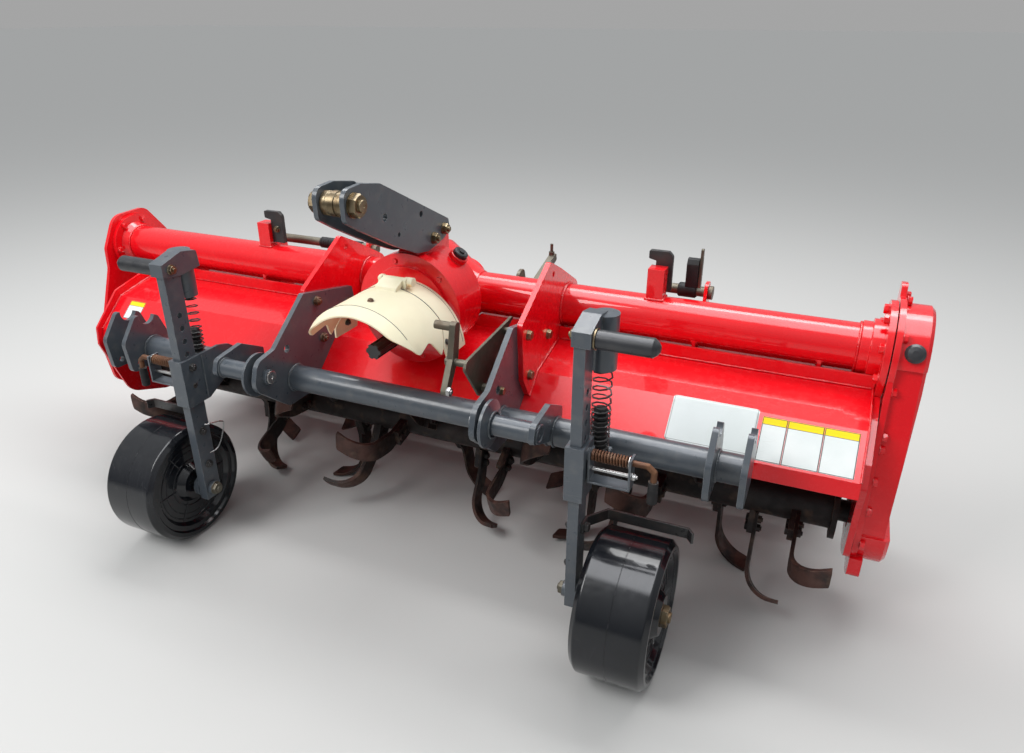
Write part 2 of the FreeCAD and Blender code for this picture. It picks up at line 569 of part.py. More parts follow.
# Gauge leg: a tall flat tube with a row of holes, and a bent cap that ends in the spring cup
def gauge_leg(name, side):
    x0 = s.leg_x - s.leg_width / 2
    x1 = s.leg_x + s.leg_width / 2
    back = s.leg_front + s.leg_depth
    leg = box(x0, x1, s.leg_front, back, s.leg_bottom, s.leg_top)
    holes = []
    middle = (s.leg_front + back) / 2
    for i in range(7):
        height = s.lock_pin_z + s.leg_hole_pitch * (i - 2)
        holes.append(rod((x0 - 1, middle, height), (x1 + 1, middle, height), s.leg_hole_radius))
    cap_side = [(s.leg_front - 4, 700), (s.leg_front - 4, s.leg_top), (-452, 746, 10),
                (-408, 738, 6), (-404, 700), (-460, 694)]
    cap = slab_x(cap_side, x0 - 4, x1 + 10)
    cap = cap.cut(slab_x([(s.leg_front, 600), (s.leg_front, s.leg_top), (-452, 742), (-380, 733),
                          (-380, 600)], x0, x1 + 6))
    cup = rod((s.spring_x, s.spring_y, s.cup_bottom), (s.spring_x, s.spring_y, 739), s.cup_radius)
    cup_void = rod((s.spring_x, s.spring_y, s.cup_bottom - 1),
                   (s.spring_x, s.spring_y, s.spring_top + 1), s.cup_radius - 3.5)
    axle(name, side)
    shape = cut(leg, holes)
    shape = fuse([shape, cap, cup])
    shape = cut(shape, [cup_void])
    add("gauge_leg_" + name, [side_of(shape, side)])
    grip = turned((0, s.grip_y, s.grip_z), (1, 0, 0), (
        (x1 + 10.3, 15), (x1 + 15, 15), (x1 + 15, s.grip_radius),
        (s.grip_end - 12, s.grip_radius), (s.grip_end - 4, s.grip_radius - 6),
        (s.grip_end, s.grip_radius - 12)))
    add("grip_" + name, [side_of(grip, side)])


# Axle of one gauge wheel: a head and a flange against the leg, and a nut at the outer end
def axle(name, side):
    spot = ("sizes.wheel_y", "sizes.wheel_radius")
    near = "sizes.leg_x - sizes.leg_width / 2"
    far = "sizes.leg_x + sizes.leg_width / 2"
    hub = "sizes.wheel_x + sizes.wheel_width / 2"
    tip = hub + " + sizes.axle_nut_width"
    head = near + " - sizes.axle_head_width"
    flange = far + " + sizes.axle_flange_width"
    parts = [bound_bar("axle_head_" + name, head, near, *spot, "sizes.axle_head_radius", side),
             bound_bar("axle_flange_" + name, far, flange, *spot, "sizes.axle_flange_radius", side),
             bound_bar("axle_shank_" + name, far, tip, *spot, "sizes.axle_radius", side),
             bound_bar("axle_nut_" + name, hub + " + 0.4", tip, *spot, "sizes.axle_nut_radius", side)]
    pieces.append(bound_fuse("axle_" + name, parts))


# Wheel: a moulded drum with crowned tread, dished sides and a centre bore
def gauge_wheel(name, side):
    half = s.wheel_width / 2
    r = s.wheel_radius
    bore = s.axle_radius + s.running_gap
    profile = [(-half, bore), (-half, 40), (-half + 16, 52), (-half + 16, 106), (-half + 6, 114),
               (-half + 6, 126), (-half, 130), (-half, r - 10), (-half + 10, r, 6),
               (half - 10, r, 6), (half, r - 10), (half, 130), (half - 6, 126),
               (half - 6, 114), (half - 16, 106), (half - 16, 52), (half, 40), (half, bore)]
    face = flat_face(profile)
    wheel = face.revolve(V(0, 0, 0), V(1, 0, 0), 360)
    wheel.translate(V(s.wheel_x, s.wheel_y, s.wheel_radius))
    add("gauge_wheel_" + name, [side_of(wheel, side)])


# Scraper strap over the rear of each wheel, bolted to the leg
def scraper(name, side):
    x1 = s.leg_x + s.leg_width / 2
    path = [(x1, -462), (x1 + 4, -458), (x1 + 34, -418), (690, -418), (702, -434), (698, -437),
            (687.5, -423), (x1 + 36.5, -423), (x1 + 6, -462.5), (x1 + 6, -490), (x1, -490)]
    strap = slab_z(path, 299, 322)
    bolt = rod((x1 + 6, -478, 309), (x1 + 12, -478, 309), 8)
    add("scraper_" + name, [side_of(fuse([strap, bolt]), side)])


# Outer surface of the hood in (y, z), from the front lip to the rear edge
def hood_profile():
    return [(-291, 383), (-284, 416), (-203, 488), (s.band_y, 517), (44, 524), (132, 412)]


# Hood over the rotor, folded from sheet, with a welded band in front of the frame tube
def hood():
    outline = sheet_outline(hood_profile(), -s.hood_thickness)
    shell = slab_x(outline, s.hood_left, s.hood_right)
    band = box(s.hood_left, s.hood_right, s.band_y - 1, s.band_y - 1 + s.band_thickness,
               515, 517 + s.band_height)
    nose = rod((0, s.gear_front - 20, s.gear_z), (0, s.gear_back + 2, s.gear_z), s.gear_radius + 2)
    housing = turned((0, *tube_axis), (1, 0, 0), (
        (s.housing_left, s.collar_radius + 3), (s.housing_left + 17, s.collar_radius + 10),
        (s.housing_left + 92, s.housing_radius - 7), (s.housing_middle, s.housing_radius + 3),
        (s.housing_right - 18, s.collar_radius + 12), (s.housing_right, s.collar_radius + 3)))
    neck = rod((0, s.gear_back - 4, s.gear_z - 12), (0, s.tube_y + 74, s.gear_z - 12), 98)
    saddles = []
    for x in (0.9 * s.hood_left, 0.6 * s.hood_left, -s.arm_inner - 70, s.arm_inner + 70,
              0.61 * s.hood_right, 0.88 * s.hood_right):
        saddles.append(slab_x([(-58, 516), (-58, 560), (34, 560), (34, 521)], x, x + 8))
    reach = s.case_outer + 100
    tube = rod((-reach, *tube_axis), (reach, *tube_axis), s.tube_radius + s.weld_gap)
    saddle_set = fuse(saddles).cut(tube)
    plate_gaps = []
    plate_inner = s.arm_inner + s.arm_thickness - s.weld_gap
    plate_outer = plate_inner + s.hitch_plate_thickness + 2 * s.weld_gap
    for x0, x1 in ((plate_inner, plate_outer), (-plate_outer, -plate_inner)):
        plate_gaps.append(box(x0, x1, s.band_y - 3, s.band_y + 4, 517.4, 560))
    knuckles = []
    span = (s.hood_right - s.hood_left) / 6
    hinge = cover_hinge()
    for i in (0, 2, 4):
        start = s.hood_left + 30 + i * span
        knuckles.append(rod((start, *hinge), (start + span - 60, *hinge), s.knuckle_radius))
        knuckles.append(slab_x([(hinge[0] - 19, hinge[1] + 15), (hinge[0] - 12, hinge[1] + 20),
                                (hinge[0] + 5, hinge[1] + 8), (hinge[0] - 8, hinge[1] + 3)],
                               start, start + span - 60))
    pin_hole = rod((-reach, *hinge), (reach, *hinge), s.hinge_pin_radius + 0.1)
    end = rod((s.tube_right_end - 60, *tube_axis), (s.tube_right_end, *tube_axis), 65)
    body = cut(fuse([shell, band] + knuckles), [nose, housing, neck, pin_hole, end] + plate_gaps)
    axis = (s.rear_rod_y, s.rear_rod_z)
    brackets = []
    for x in rear_bracket_places():
        bracket = slab_x([(axis[0] - 34, 519), (axis[0] - 19, axis[1] + 24, 12),
                          (axis[0] + 19, axis[1] + 24, 12), (axis[0] + 32, 435)], x, x + 8)
        brackets.append(bracket)
    rod_hole = rod((-reach, *axis), (reach, *axis), s.rear_rod_radius + s.weld_gap)
    add("hood", [fuse([body, saddle_set, cut(fuse(brackets), [rod_hole])])])
    # the wall that closes the hood's left end stands a little proud of its sheet
    wall = slab_x([(-306, 376, 6), (-300, 424, 10), (-214, 508, 12), (-78, 541, 10), (58, 546, 30),
                   (150, 424), (122, 330, 30), (40, 190, 60), (-100, 150, 80), (-240, 200, 60)],
                  s.hood_left - s.end_wall_thickness, s.hood_left)
    shaft_way = rod((s.hood_left - 20, *rotor_axis), (s.hood_left + 20, *rotor_axis), 62)
    hinge_way = rod((s.hood_left - 20, *hinge), (s.hood_left + 20, *hinge), s.knuckle_radius + 3)
    add("hood_end_left", [cut(wall, [tube, shaft_way, hinge_way])])


# Where the four brackets of the rear rods stand: two on the left, two on the right
def rear_bracket_places():
    return (s.post_left_x - 41, s.post_left_x + 271, s.post_right_x - 13, s.post_right_x + 95)


# Round rods behind the frame tube, an arm that runs back from the tube, and a lug beside it
def rear_rods():
    y, height = s.rear_rod_y, s.rear_rod_z
    places = rear_bracket_places()
    r = s.rear_rod_radius
    left = rod((places[0] - 6, y, height), (places[1] + 24, y, height), r)
    right = turned((0, y, height), (1, 0, 0), (
        (places[2] - 8, r), (places[3] + 8.4, r), (places[3] + 8.4, r + 4), (places[3] + 18, r + 4)))
    blade = slab_x([(y - 7, height + 4), (y + 9, height + 4), (y + 9, height + 60),
                    (y + 5, height + 102, 3), (y - 5, height + 102, 3), (y - 7, height + 60)],
                   places[3] - 18, places[3] - 12)
    blade = blade.cut(rod((places[3] - 30, y, height), (places[3], y, height), r + s.weld_gap))
    tube = rod((0, *tube_axis), (400, *tube_axis), s.tube_radius + s.weld_gap)
    arm = slab_x([(20, 562), (30, 590), (204, 641, 4), (210, 622, 4)], 157, 173)
    stud = rod((163, 196, 630), (163, 196, 667), 4)
    nut = rod((163, 196, 632), (163, 196, 646), 7.5)
    lug = slab_x([(14, 600), (22, 636, 14), (54, 640, 14), (62, 610, 6), (38, 590)], 136, 144)
    add("rear_rods", [left, right, blade, fuse([arm.cut(tube), stud, nut]), lug.cut(tube)])
    step = 8.0
    stations = []
    start = places[1] - 162
    ribs = 17
    for i in range(ribs):
        stations += [(start + i * step, r + 1.6), (start + i * step + 2, r + 3.4),
                     (start + i * step + 6, r + 3.4)]
    stations += [(start + ribs * step, r + 1.6)]
    clear = rod((places[0], y, height), (places[3], y, height), r + s.weld_gap)
    boot = turned((0, y, height), (1, 0, 0), stations).cut(clear)
    sleeve = turned((0, y, height), (1, 0, 0), (
        (places[3] - 63, r + 2), (places[3] - 60, s.rear_sleeve_radius),
        (places[3] - 22, s.rear_sleeve_radius), (places[3] - 19, r + 2))).cut(clear)
    body = slab_x([(y - 13, height + 8), (y - 15, height + 66, 4), (y - 8, height + 78, 4),
                   (y + 10, height + 78, 6), (y + 13, height + 8)], places[3] - 46, places[3] - 19)
    body = body.cut(rod((places[0], y, height), (places[3], y, height),
                        s.rear_sleeve_radius + s.weld_gap))
    add("rear_sleeves", [boot, sleeve, body])


# The rear cover hangs on a rod along the hood's rear edge
def cover_hinge():
    turn = math.radians(s.cover_top_angle)
    return (s.rotor_y + (s.cover_radius - 6) * math.cos(turn),
            s.rotor_z + (s.cover_radius - 6) * math.sin(turn))


def board_hinge():
    turn = math.radians(s.cover_bottom_angle)
    return (s.rotor_y + s.cover_radius * math.cos(turn),
            s.rotor_z + s.cover_radius * math.sin(turn) - 8)


def arc_points(radius, first, last, steps):
    found = []
    for i in range(steps + 1):
        turn = math.radians(first + (last - first) * i / steps)
        found.append((s.rotor_y + radius * math.cos(turn), s.rotor_z + radius * math.sin(turn)))
    return found


def rear_cover():
    hinge = cover_hinge()
    low = board_hinge()
    first = s.cover_top_angle - 4
    outside = arc_points(s.cover_radius, first, s.cover_bottom_angle, 6)
    inside = arc_points(s.cover_radius - s.cover_thickness, first, s.cover_bottom_angle, 6)
    left, right = s.hood_left + 14, s.hood_right - 12
    shell = slab_x(outside + inside[::-1], left, right)
    top = slab_x([(hinge[0] - 2, hinge[1] - 4), (hinge[0] + 6, hinge[1] + 4), outside[0],
                  inside[0]], left, right)
    pin = rod((s.hood_left + 8, *hinge), (s.hood_right - 8, *hinge), s.hinge_pin_radius)
    span = (s.hood_right - s.hood_left) / 6
    body = fuse([shell, top])
    gaps = []
    knuckles = []
    for i in (0, 2, 4):
        start = s.hood_left + 30 + i * span
        gaps.append(rod((start - 6, *hinge), (start + span - 54, *hinge), s.knuckle_radius + 6))
    for i in (1, 3, 5):
        start = s.hood_left + 30 + i * span - 40
        knuckles.append(rod((start, *hinge), (min(start + span - 20, right), *hinge), 10))
    ribs = []
    for x in (left + 300, -60, right - 308):
        rib = arc_points(s.cover_radius - 1, first - 4, s.cover_bottom_angle + 4, 4)
        rib += arc_points(s.cover_radius + 24, s.cover_bottom_angle + 9, first - 9, 3)
        ribs.append(slab_x(rib, x, x + 8))
    body = cut(fuse([body] + ribs), gaps)
    lower = []
    for i in range(4):
        x = left + 60 + i * (right - left - 320) / 3
        lower.append(rod((x, *low), (x + 200, *low), 9))
        lower.append(slab_x([(low[0] - 3, low[1]), (low[0] + 5, low[1]), outside[-1], inside[-1]],
                            x, x + 200))
    hole = rod((left - 50, *low), (right + 50, *low), 5.1)
    body = cut(fuse([body] + lower), [hole])
    add("rear_cover", [fuse([body, pin] + knuckles)])


# Levelling board: hinged to the cover's lower edge, its rolled rear edge on the floor
def levelling_board():
    low = board_hinge()
    left, right = s.hood_left + 14, s.hood_right - 12
    turn = math.radians(s.board_angle)
    along = V(0, math.cos(turn), math.sin(turn))
    up = V(0, -math.sin(turn), math.cos(turn))
    lip_height = s.board_lip_radius
    length = (low[1] - lip_height) / -math.sin(turn)

    def at(distance, rise):
        point = V(0, *low) + along * distance + up * rise
        return (point.y, point.z)

    half = s.board_thickness / 2
    plate = slab_x([at(14, half), at(14, -half), at(length, -half), at(length, half)], left, right)
    lip = rod((left, *at(length, 0)), (right, *at(length, 0)), s.board_lip_radius)
    rod_pin = rod((left, *low), (right, *low), 5)
    tabs = []
    for x in (left + 6, left + 270, -150, 60, right - 330, right - 40):
        tabs.append(slab_x([at(0, 7), at(0, -7), at(18, -half), at(18, half)], x, x + 24))
    add("levelling_board", [fuse([plate, lip, rod_pin] + tabs)])


# Left side plate: a round head on the frame tube, running forward and down to the rotor bearing
def side_plate_left():
    x = s.tube_left_end
    outline = [(44, 680, 40), (-72, 676, 50), (-120, 590, 30), (-124, 530, 40), (-206, 314, 12),
               (-186, 186, 40), (-100, 160, 50), (-14, 190, 40), (40, 330, 60), (104, 470, 40),
               (118, 590, 40)]
    plate = slab_x(outline, x - s.side_thickness, x)
    ring_plate = rod((x - s.side_thickness - 12, *tube_axis), (x - s.side_thickness, *tube_axis), 74)
    bearing = rod((x - s.side_thickness - 16, *rotor_axis), (x + 26, *rotor_axis), 58)
    bore = rod((x - 20, *rotor_axis), (x + 30, *rotor_axis), s.stub_radius + s.running_gap)
    add("side_plate_left", [cut(fuse([plate, ring_plate, bearing]), [bore])])


# Outline of the chain case in (y, z): two circles joined by their common tangents
def case_outline(top_radius, bottom_radius):
    top, bottom = V(*tube_axis, 0), V(*rotor_axis, 0)
    between = top - bottom
    lean = math.atan2(between.y, between.x)
    spread = math.acos((bottom_radius - top_radius) / between.Length)
    spots = []
    for centre, radius, turns in (
            (top, top_radius, (lean - spread, lean, lean + spread)),
            (bottom, bottom_radius, (lean + spread, lean + math.pi, lean - spread))):
        for turn in turns:
            spots.append(centre + V(math.cos(turn), math.sin(turn), 0) * radius)
    edges = [Part.Arc(*spots[:3]), Part.LineSegment(spots[2], spots[3]), Part.Arc(*spots[3:]),
             Part.LineSegment(spots[5], spots[0])]
    return Part.Face(Part.Wire([edge.toShape() for edge in edges]))


def case_slab(top_radius, bottom_radius, x0, x1):
    face = case_outline(top_radius, bottom_radius)
    face.transformShape(FreeCAD.Matrix(0, 0, 1, x0, 1, 0, 0, 0, 0, 1, 0, 0, 0, 0, 0, 1))
    return face.extrude(V(x1 - x0, 0, 0))


def case_front_y(height):
    top, bottom = V(*tube_axis, 0), V(*rotor_axis, 0)
    between = top - bottom
    turn = math.atan2(between.y, between.x) + math.pi / 2
    start = bottom + V(math.cos(turn), math.sin(turn), 0) * s.case_bottom_radius
    end = top + V(math.cos(turn), math.sin(turn), 0) * s.case_top_radius
    return start.x + (end.x - start.x) * (height - start.y) / (end.y - start.y)


# A round form of the chain case, from the seam to the outer face, with its outer edge broken
def case_round(axis, radius):
    return turned((0, *axis), (1, 0, 0), (
        (s.case_inner + s.case_seam - 1, radius), (s.case_outer - s.case_chamfer, radius),
        (s.case_outer, radius - s.case_chamfer)))


# Chain case: a leaning box with a round head at the frame tube and a round foot at the rotor,
# a bolted seam with an ear on top, and a shoe under the seam
def chain_case():
    seam_end = s.case_inner + s.case_seam
    rim = s.case_rim
    main = case_slab(s.case_top_radius, s.case_bottom_radius, seam_end, s.case_outer)
    edges = [edge for edge in main.Edges
             if all(abs(point.X - s.case_outer) < 0.01 for point in edge.Vertexes)]
    main = main.makeChamfer(s.case_chamfer - 1, edges)
    lean = slab_y([(s.case_outer - s.case_lean, s.rotor_z - 200),
                   (s.case_outer - s.case_lean, s.rotor_z + 27), (s.case_outer, s.tube_z - 45),
                   (s.case_outer + 30, s.tube_z - 45), (s.case_outer + 30, s.rotor_z - 200)],
                  s.rotor_y - 300, s.rotor_y + 300)
    main = main.cut(lean)
    head = case_round(tube_axis, s.case_head_radius)
    head = head.cut(box(s.case_inner - 1, s.case_outer + 1, s.tube_y - 200, s.tube_y + 200,
                        s.tube_z - 200, s.tube_z + s.case_crease))
    foot = case_round(rotor_axis, s.case_foot_radius)
    foot = foot.cut(box(s.case_inner - 1, s.case_outer + 1, s.rotor_y - 200, s.rotor_y + 200,
                        s.rotor_z + 5, s.rotor_z + 200))
    seam = case_slab(s.case_top_radius + rim, s.case_bottom_radius + rim, s.case_inner, seam_end)
    crown = rod((s.case_inner, *tube_axis), (seam_end, *tube_axis), s.case_head_radius + 10)
    crown = crown.cut(box(s.case_inner - 1, seam_end + 1, s.tube_y - 200, s.tube_y + 200,
                          s.tube_z - 200, s.tube_z - 20))
    ear = slab_x([(s.tube_y + 20, s.tube_z + 70), (s.tube_y + 46, s.tube_z + 134, 12),
                  (s.tube_y + 84, s.tube_z + 128, 12), (s.tube_y + 96, s.tube_z + 30)],
                 s.case_inner, seam_end)
    shoe = slab_x([(s.rotor_y - 92, s.rotor_z - 55), (s.rotor_y - 88, s.rotor_z - 102, 24),
                   (s.rotor_y - 30, s.rotor_z - 132, 24), (s.rotor_y + 34, s.rotor_z - 128, 24),
                   (s.rotor_y + 84, s.rotor_z - 80, 24), (s.rotor_y + 70, s.rotor_z - 40)],
                  s.case_inner, seam_end + 14)
    bolts = []
    for height in (s.tube_z - 43, s.rotor_z + 217, s.rotor_z + 190, s.rotor_z + 123,
                   s.rotor_z + 60, s.rotor_z - 12):
        y = case_front_y(height) - 6
        bolts.append(rod((seam_end, y, height), (seam_end + 9, y, height), 7.5))
    for y, height in ((s.tube_y + 4, s.tube_z + 112), (s.tube_y - 88, s.tube_z + 64),
                      (s.tube_y + 62, s.tube_z + 104)):
        bolts.append(rod((seam_end, y, height), (seam_end + 9, y, height), 7.5))
    bore = rod((s.case_inner - 1, *rotor_axis), (s.case_inner + 40, *rotor_axis),
               s.stub_radius + s.running_gap)
    add("chain_case", [cut(fuse([main, head, foot, seam, crown, ear, shoe] + bolts), [bore])])
    inner = s.hood_right + s.side_gap
    outline = [(-50, 530, 10), (-150, 486, 30), (-232, 430, 20), (-262, 388, 10), (-236, 330, 20),
               (-206, 190, 40), (-100, 136, 60), (20, 190, 40), (104, 360, 30), (100, 440, 30),
               (44, 505, 20)]
    plate = slab_x(outline, inner, s.tube_right_end)
    shaft = rod((inner - 5, *rotor_axis), (s.tube_right_end + 5, *rotor_axis), s.stub_radius + 10)
    flange = rod((inner - 5, *tube_axis), (s.tube_right_end + 5, *tube_axis),
                 s.flange_radius + s.weld_gap)
    add("side_plate_right", [cut(plate, [shaft, flange])])


# Rotor: a tube with stub shafts, end flanges and a holder for each tine
def tine_places():
    places = []
    middle = (s.rotor_left + s.rotor_right) / 2
    count = int(s.tine_count)
    for i in range(count):
        x = middle + (i - (count - 1) / 2) * s.tine_pitch
        places.append((x, i * s.tine_turn, 1 if i % 2 else -1))
    return places


def rotor():
    y, height = rotor_axis
    core = turned((0, y, height), (1, 0, 0), (
        (s.tube_left_end - 8, s.stub_radius), (s.hood_left - 50, s.stub_radius),
        (s.hood_left - 50, s.rotor_tube_radius), (s.rotor_left, s.rotor_tube_radius),
        (s.rotor_left, 66), (s.rotor_left + 12, 66), (s.rotor_left + 12, s.rotor_tube_radius),
        (s.rotor_right - 12, s.rotor_tube_radius), (s.rotor_right - 12, 66), (s.rotor_right, 66),
        (s.rotor_right, s.stub_radius), (s.case_inner + 30, s.stub_radius)))
    blade = tine()
    holders, blades = [], []
    for x, turn, hand in tine_places():
        holder = box(0, s.holder_thickness, y - 22, y + 22, height + s.rotor_tube_radius - 8,
                     height + s.holder_radius)
        cutter = blade.copy()
        if hand < 0:
            holder = mirrored(holder)
            cutter = mirrored(cutter)
        for shape in (holder, cutter):
            shape.translate(V(x, 0, 0))
            shape.rotate(V(0, y, height), V(1, 0, 0), turn)
        holders.append(holder)
        blades.append(cutter)
    add("rotor_shaft", [core.fuse(holders)])
    add("rotor_tines", blades)


# One tine: a blade bent sideways onto the cylinder that the tips sweep, and curved back so
# that its tip trails. It stands upright on the rotor at x = 0 and bends towards -X.
def tine():
    t = s.tine_thickness
    root = s.rotor_tube_radius + 3
    tip = s.rotor_radius
    section = flat_face([(-t, root), (-t, tip - t, s.tine_bend), (-s.tine_reach, tip - t),
                         (-s.tine_reach, tip), (0, tip, s.tine_bend + t), (0, root)])
    ring_of_blades = section.revolve(V(0, 0, 0), V(1, 0, 0), 360)
    ring_of_blades.rotate(V(0, 0, 0), V(1, 0, 0), 90)
    half = s.tine_width / 2
    side = flat_face([(half, root - 8), (half, 96, 60), (half + 52, tip + 12), (24, tip + 12),
                      (-half, 122, 70), (-half, root - 8)])
    side.transformShape(FreeCAD.Matrix(0, 0, 1, 2, 1, 0, 0, 0, 0, 1, 0, 0, 0, 0, 0, 1))
    blade = side.extrude(V(-s.tine_reach - 4, s.tine_sweep, 0))
    flat = slab_z([(3, -60), (3, 150), (-45, 130), (-s.tine_reach, 100, 20),
                   (-s.tine_reach, 60, 20), (-45, -60)], 0, tip + 5)
    shape = ring_of_blades.common(blade).common(flat)
    shape.translate(V(0, *rotor_axis))
    return shape


# Posts on the frame tube, each with a hooked plate: behind the right post, beside the left one
def hook_posts():
    posts = []
    for place, extra in (("right", ""), ("left", " - 5")):
        middle = "sizes.post_" + place + "_x"
        posts.append(bound_box("post_" + place, middle + " - sizes.post_half",
                               middle + " + sizes.post_half",
                               "sizes.tube_y - sizes.post_half_depth",
                               "sizes.tube_y + sizes.post_half_depth",
                               "sizes.tube_z + sizes.post_foot",
                               "sizes.tube_z + sizes.post_height" + extra))
    way = bound_bar("post_saddle", "sizes.post_left_x - 60", "sizes.post_right_x + 60",
                    "sizes.tube_y", "sizes.tube_z", "sizes.tube_radius + sizes.weld_gap")
    pieces.append(bound_cut("hook_posts", bound_fuse("posts_together", posts), way))
    hooks = []
    behind = s.tube_y + s.post_half_depth + s.weld_gap
    beside = s.post_left_x + s.post_half + s.weld_gap
    foot = s.tube_z + s.hook_foot
    for shank, top, tip, y in (
            (s.post_right_x - 10, s.tube_z + 151, s.post_right_x - 27, behind),
            (beside, s.tube_z + 145, s.post_left_x, s.tube_y - 6)):
        back = shank + s.hook_width
        hooks.append(slab_y([(shank, foot), (back, foot), (back, top - 10, 12), (back - 10, top),
                             (tip, top, 4), (tip, top - 19, 4), (shank, top - 23)], y + 12, y))
    add("post_hooks", hooks)


# A bare steel plate on two spacers inside the right arm, and the crank lever on its shaft
def lever_plate():
    face = 225
    plate = slab_x([(-208, 620, 3), (-250, 598), (-294, 544), (-374, 496, 5), (-392, 502, 6),
                    (-454, 586, 8), (-446, 602, 8)], face, face + 6)
    spacers = [rod((face + 6, -258, 598), (s.arm_inner, -258, 598), 9),
               rod((face + 6, -374, 514), (s.arm_inner, -374, 514), 9)]
    add("lever_plate", [fuse([plate] + spacers)])
    shaft = rod((190, -440, 594), (face, -440, 594), 7.5)
    arm = slab_x([(-415, 672, 10), (-435, 676, 8), (-452, 604), (-488, 540, 8), (-472, 534, 8),
                  (-428, 600)], 190, 203)
    handle = rod((154, -427, 663), (190, -427, 663), 9)
    bolt = rod((203, -478, 546), (210, -478, 546), 8)
    add("crank_lever", [fuse([shaft, arm, handle, bolt])])


frame_tubes()
gearbox()
oil_plugs()
input_shaft()
shaft_guard()
mast()
hitch()
lower_hitch_pins()
cross_tube()
leg_sleeves()
lock_pins()
leg_springs()
for name, side in (("left", -1), ("right", 1)):
    gauge_leg(name, side)
    gauge_wheel(name, side)
    scraper(name, side)
hood()
rear_cover()
levelling_board()
side_plate_left()
chain_case()
rotor()
hook_posts()
rear_rods()
lever_plate()

doc.recompute()
for item in doc.Objects:
    if "Invalid" in item.State or "Error" in item.State:
        raise RuntimeError("failed object: " + item.Label)
os.makedirs("parts", exist_ok=True)
for piece in pieces:
    shape = piece.Shape
    if shape.isNull() or not shape.isValid():
        raise RuntimeError("bad shape: " + piece.Label)
    shape.exportStep("parts/" + piece.Label + ".step")
print(len(pieces), "pieces")
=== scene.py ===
import bpy
import math
import numpy as np
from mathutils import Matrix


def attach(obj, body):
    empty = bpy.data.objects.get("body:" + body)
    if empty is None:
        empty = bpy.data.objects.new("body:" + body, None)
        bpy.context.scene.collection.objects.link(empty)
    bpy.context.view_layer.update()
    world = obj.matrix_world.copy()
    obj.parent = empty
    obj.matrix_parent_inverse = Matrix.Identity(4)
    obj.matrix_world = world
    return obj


# Red rotary tiller, dressed for its photograph. Blender works in metres in the CAD model's own
# frame; the pieces below are worked out in millimetres from the middle of the hitch, and
# makePiece sets them in their place.
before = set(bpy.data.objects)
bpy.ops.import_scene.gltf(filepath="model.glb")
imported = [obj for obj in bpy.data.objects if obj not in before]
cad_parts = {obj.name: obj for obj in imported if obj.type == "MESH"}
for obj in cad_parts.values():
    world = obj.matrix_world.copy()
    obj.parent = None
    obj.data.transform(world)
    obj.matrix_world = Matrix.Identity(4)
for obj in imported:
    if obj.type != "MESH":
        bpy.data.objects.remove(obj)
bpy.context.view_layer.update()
print("loaded", len(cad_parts), "nodes")

camera = {
    "place": (0.9049, -1.5229, 1.2242),
    "azimuth": 23.55,     # degrees to the left of +Y
    "dip": 25.39,         # degrees below the horizon
    "lens": 27.08,
}
cameraData = bpy.data.cameras.new("photoCamera")
cameraData.lens = camera["lens"]
cameraData.sensor_width = 36
cameraData.clip_start = 0.02
cameraData.clip_end = 200
cameraObject = bpy.data.objects.new("photoCamera", cameraData)
cameraObject.location = camera["place"]
cameraObject.rotation_euler = (math.radians(90 - camera["dip"]), 0, math.radians(camera["azimuth"]))
bpy.context.scene.collection.objects.link(cameraObject)
bpy.context.scene.camera = cameraObject
bpy.context.scene.view_settings.view_transform = "Standard"
print("camera set")


# Adds a node, sets its inputs by name, and returns it.
def addNode(tree, kind, **values):
    node = tree.nodes.new(kind)
    for name, value in values.items():
        if name in node.inputs:
            node.inputs[name].default_value = value
        else:
            setattr(node, name, value)
    return node


# A value spread from low..high to first..second.
def spreadValue(tree, value, low, high, first=0.0, second=1.0):
    spread = tree.nodes.new("ShaderNodeMapRange")
    for name, number in (("From Min", low), ("From Max", high), ("To Min", first), ("To Max", second)):
        spread.inputs[name].default_value = number
    tree.links.new(value, spread.inputs["Value"])
    return spread.outputs["Result"]


# Object coordinates, moved and stretched if asked.
def objectPlace(tree, move=None, stretch=None):
    source = tree.nodes.new("ShaderNodeTexCoord").outputs["Object"]
    if move or stretch:
        mapping = tree.nodes.new("ShaderNodeMapping")
        mapping.inputs["Location"].default_value = move or (0, 0, 0)
        mapping.inputs["Scale"].default_value = stretch or (1, 1, 1)
        tree.links.new(source, mapping.inputs["Vector"])
        source = mapping.outputs["Vector"]
    return source


# Noise on Object coordinates, with its contrast set by a map range: low..high becomes 0..1.
def noiseMask(tree, scale, low, high, detail=4.0, stretch=None, move=None):
    noise = addNode(tree, "ShaderNodeTexNoise", Scale=scale, Detail=detail)
    tree.links.new(objectPlace(tree, move, stretch), noise.inputs["Vector"])
    return spreadValue(tree, noise.outputs["Fac"], low, high)


# Thin crossing scratches: the narrow valleys between stretched cells.
def scratchMask(tree, scale, stretch, width):
    cells = tree.nodes.new("ShaderNodeTexVoronoi")
    cells.feature = "DISTANCE_TO_EDGE"
    cells.inputs["Scale"].default_value = scale
    tree.links.new(objectPlace(tree, stretch=stretch), cells.inputs["Vector"])
    return spreadValue(tree, cells.outputs["Distance"], 0.0, width, 1.0, 0.0)


def mixColours(tree, mask, first, second):
    mix = tree.nodes.new("ShaderNodeMix")
    mix.data_type = "RGBA"
    tree.links.new(mask, mix.inputs["Factor"])
    for socket, colour in (("A", first), ("B", second)):
        target = [one for one in mix.inputs if one.name == socket and one.type == "RGBA"][0]
        if isinstance(colour, bpy.types.NodeSocket):
            tree.links.new(colour, target)
        else:
            target.default_value = (*colour, 1)
    return [one for one in mix.outputs if one.type == "RGBA"][0]


